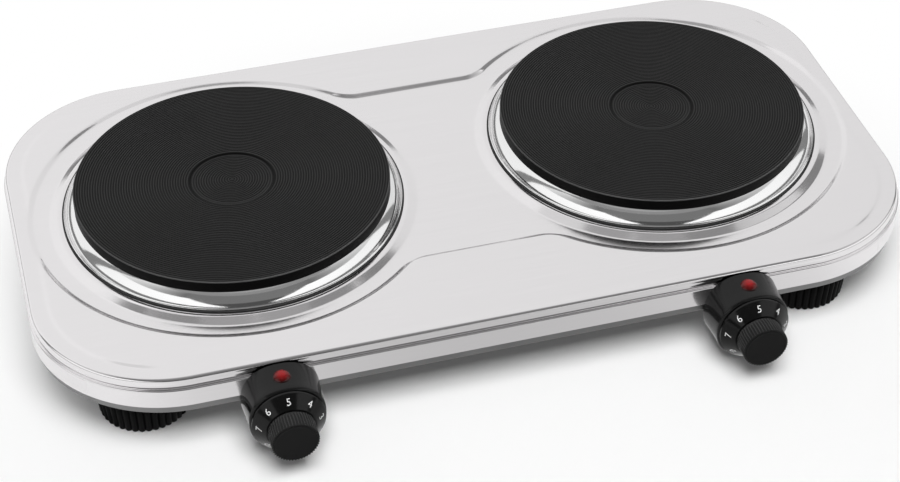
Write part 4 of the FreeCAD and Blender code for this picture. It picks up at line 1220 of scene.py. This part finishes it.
def glow_sheet(name, points, across, values):
    """Sheet of points in rows that only reflections see, as bright at each point as its value."""
    rows = len(points) // across
    faces = [
        (i * across + j, i * across + j + 1, (i + 1) * across + j + 1, (i + 1) * across + j)
        for i in range(rows - 1)
        for j in range(across - 1)
    ]
    material = bpy.data.materials.new(name)
    material.use_nodes = True
    tree = material.node_tree
    tree.nodes.clear()
    brightness = tree.nodes.new("ShaderNodeAttribute")
    brightness.attribute_name = "brightness"
    glow = tree.nodes.new("ShaderNodeEmission")
    glow.inputs["Color"].default_value = (1, 1, 1, 1)
    tree.links.new(brightness.outputs["Fac"], glow.inputs["Strength"])
    output = tree.nodes.new("ShaderNodeOutputMaterial")
    tree.links.new(glow.outputs[0], output.inputs["Surface"])
    mesh = bpy.data.meshes.new(name)
    mesh.from_pydata(points, [], faces)
    mesh.materials.append(material)
    mesh.attributes.new("brightness", "FLOAT", "POINT").data.foreach_set("value", values)
    obj = bpy.data.objects.new(name, mesh)
    obj.visible_camera = False
    obj.visible_diffuse = False
    obj.visible_shadow = False
    bpy.context.collection.objects.link(obj)


def card(name, azimuths, elevations, reach, first, last=None, lean=(0, 0)):
    """Curved card round the object, shaded from end to end; azimuth 0 is the front and 90 the right."""
    rises = np.radians(np.linspace(*elevations, CARD_ROWS))
    shades = np.linspace(first, first if last is None else last, CARD_COLUMNS)
    points = []
    for t, e in zip(np.linspace(0, 1, CARD_ROWS), rises):
        ends = [azimuth + shift * t for azimuth, shift in zip(azimuths, lean)]
        for a in np.radians(np.linspace(*ends, CARD_COLUMNS)):
            x = reach * math.sin(a) * math.cos(e)
            y = -reach * math.cos(a) * math.cos(e)
            points.append((x, y, reach * math.sin(e)))
    glow_sheet(name, points, CARD_COLUMNS, np.tile(shades, CARD_ROWS))


lamp("top_lamp", (0, -0.75, 2.2), (0, 0, 0), 1.6, 1.8, 54.0)
card("zenith_card", (-180, 180), (76, 89), 2.7, 0.40)
card("front_zenith_card", (-112, 112), (62, 76), 2.7, 0.30)
card("back_zenith_card", (112, 248), (62, 76), 2.7, 0.80)
card("back_card", (112, 248), (10, 62), 2.7, 0.84, 1.05)
card("front_high_card", (-64, 49), (24, 62), 2.6, 0.20)
card("front_low_card", (-50, 35), (-2, 24), 2.6, 0.086)
card("left_softbox", (-112, -20), (9, 40), 2.5, 1.05, 1.25, (0, -28))
card("left_upper_card", (-112, -48), (40, 62), 2.5, 1.0, 0.15, (0, -14))
card("right_softbox", (5, 112), (9, 40), 2.5, 1.25, 1.0, (28, 0))
card("right_upper_card", (33, 112), (40, 62), 2.5, 0.15, 0.9, (14, 0))
card("left_gap_card", (-118, -105), (5, 62), 2.4, 0.25)
card("right_gap_card", (105, 118), (5, 62), 2.4, 0.25)
card("horizon_card", (35, 310), (0, 9), 2.55, 0.22)

# Darker stretch of table in front of the middle, seen in the skirt
TABLE_SHADE = 0.62
FLOOR_SHEEN = 0.98
SHADE_HALF = 0.60
SHADE_FRONT = -0.50
SHADE_BACK = -0.10
SHADE_FADE = 0.25
SHADE_LEVEL = 0.001
shade_x = np.linspace(-SHADE_HALF, SHADE_HALF, 49)
shade_y = np.linspace(SHADE_FRONT, SHADE_BACK, 5)
shade_points = [(x, y, SHADE_LEVEL) for y in shade_y for x in shade_x]
shade_ease = np.clip(np.abs(shade_x) / SHADE_FADE, 0, 1) ** 2
shade_values = np.tile(TABLE_SHADE + (FLOOR_SHEEN - TABLE_SHADE) * shade_ease, len(shade_y))
glow_sheet("table_shade", shade_points, len(shade_x), shade_values)

# Camera at the photograph's place
FOCAL_PIXELS = 2077.0
IMAGE_WIDTH = 900
SENSOR_WIDTH = 36.0
YAW = math.radians(15.327)
PITCH = math.radians(39.925)
ROLL = math.radians(-0.475)
EYE = Vector((-259.9, -931.9, 813.8)) * MM
ahead = Vector((math.sin(YAW) * math.cos(PITCH), math.cos(YAW) * math.cos(PITCH), -math.sin(PITCH)))
across = Vector((math.cos(YAW), -math.sin(YAW), 0))
upward = across.cross(ahead)
right = math.cos(ROLL) * across + math.sin(ROLL) * upward
up = -math.sin(ROLL) * across + math.cos(ROLL) * upward
camera_data = bpy.data.cameras.new("camera")
camera_data.sensor_fit = "HORIZONTAL"
camera_data.sensor_width = SENSOR_WIDTH
camera_data.lens = SENSOR_WIDTH * FOCAL_PIXELS / IMAGE_WIDTH
camera = bpy.data.objects.new("camera", camera_data)
bpy.context.collection.objects.link(camera)
placement = Matrix((right, up, -ahead)).transposed().to_4x4()
placement.translation = EYE
camera.matrix_world = placement
bpy.context.scene.camera = camera

bpy.context.scene.view_settings.view_transform = "Standard"
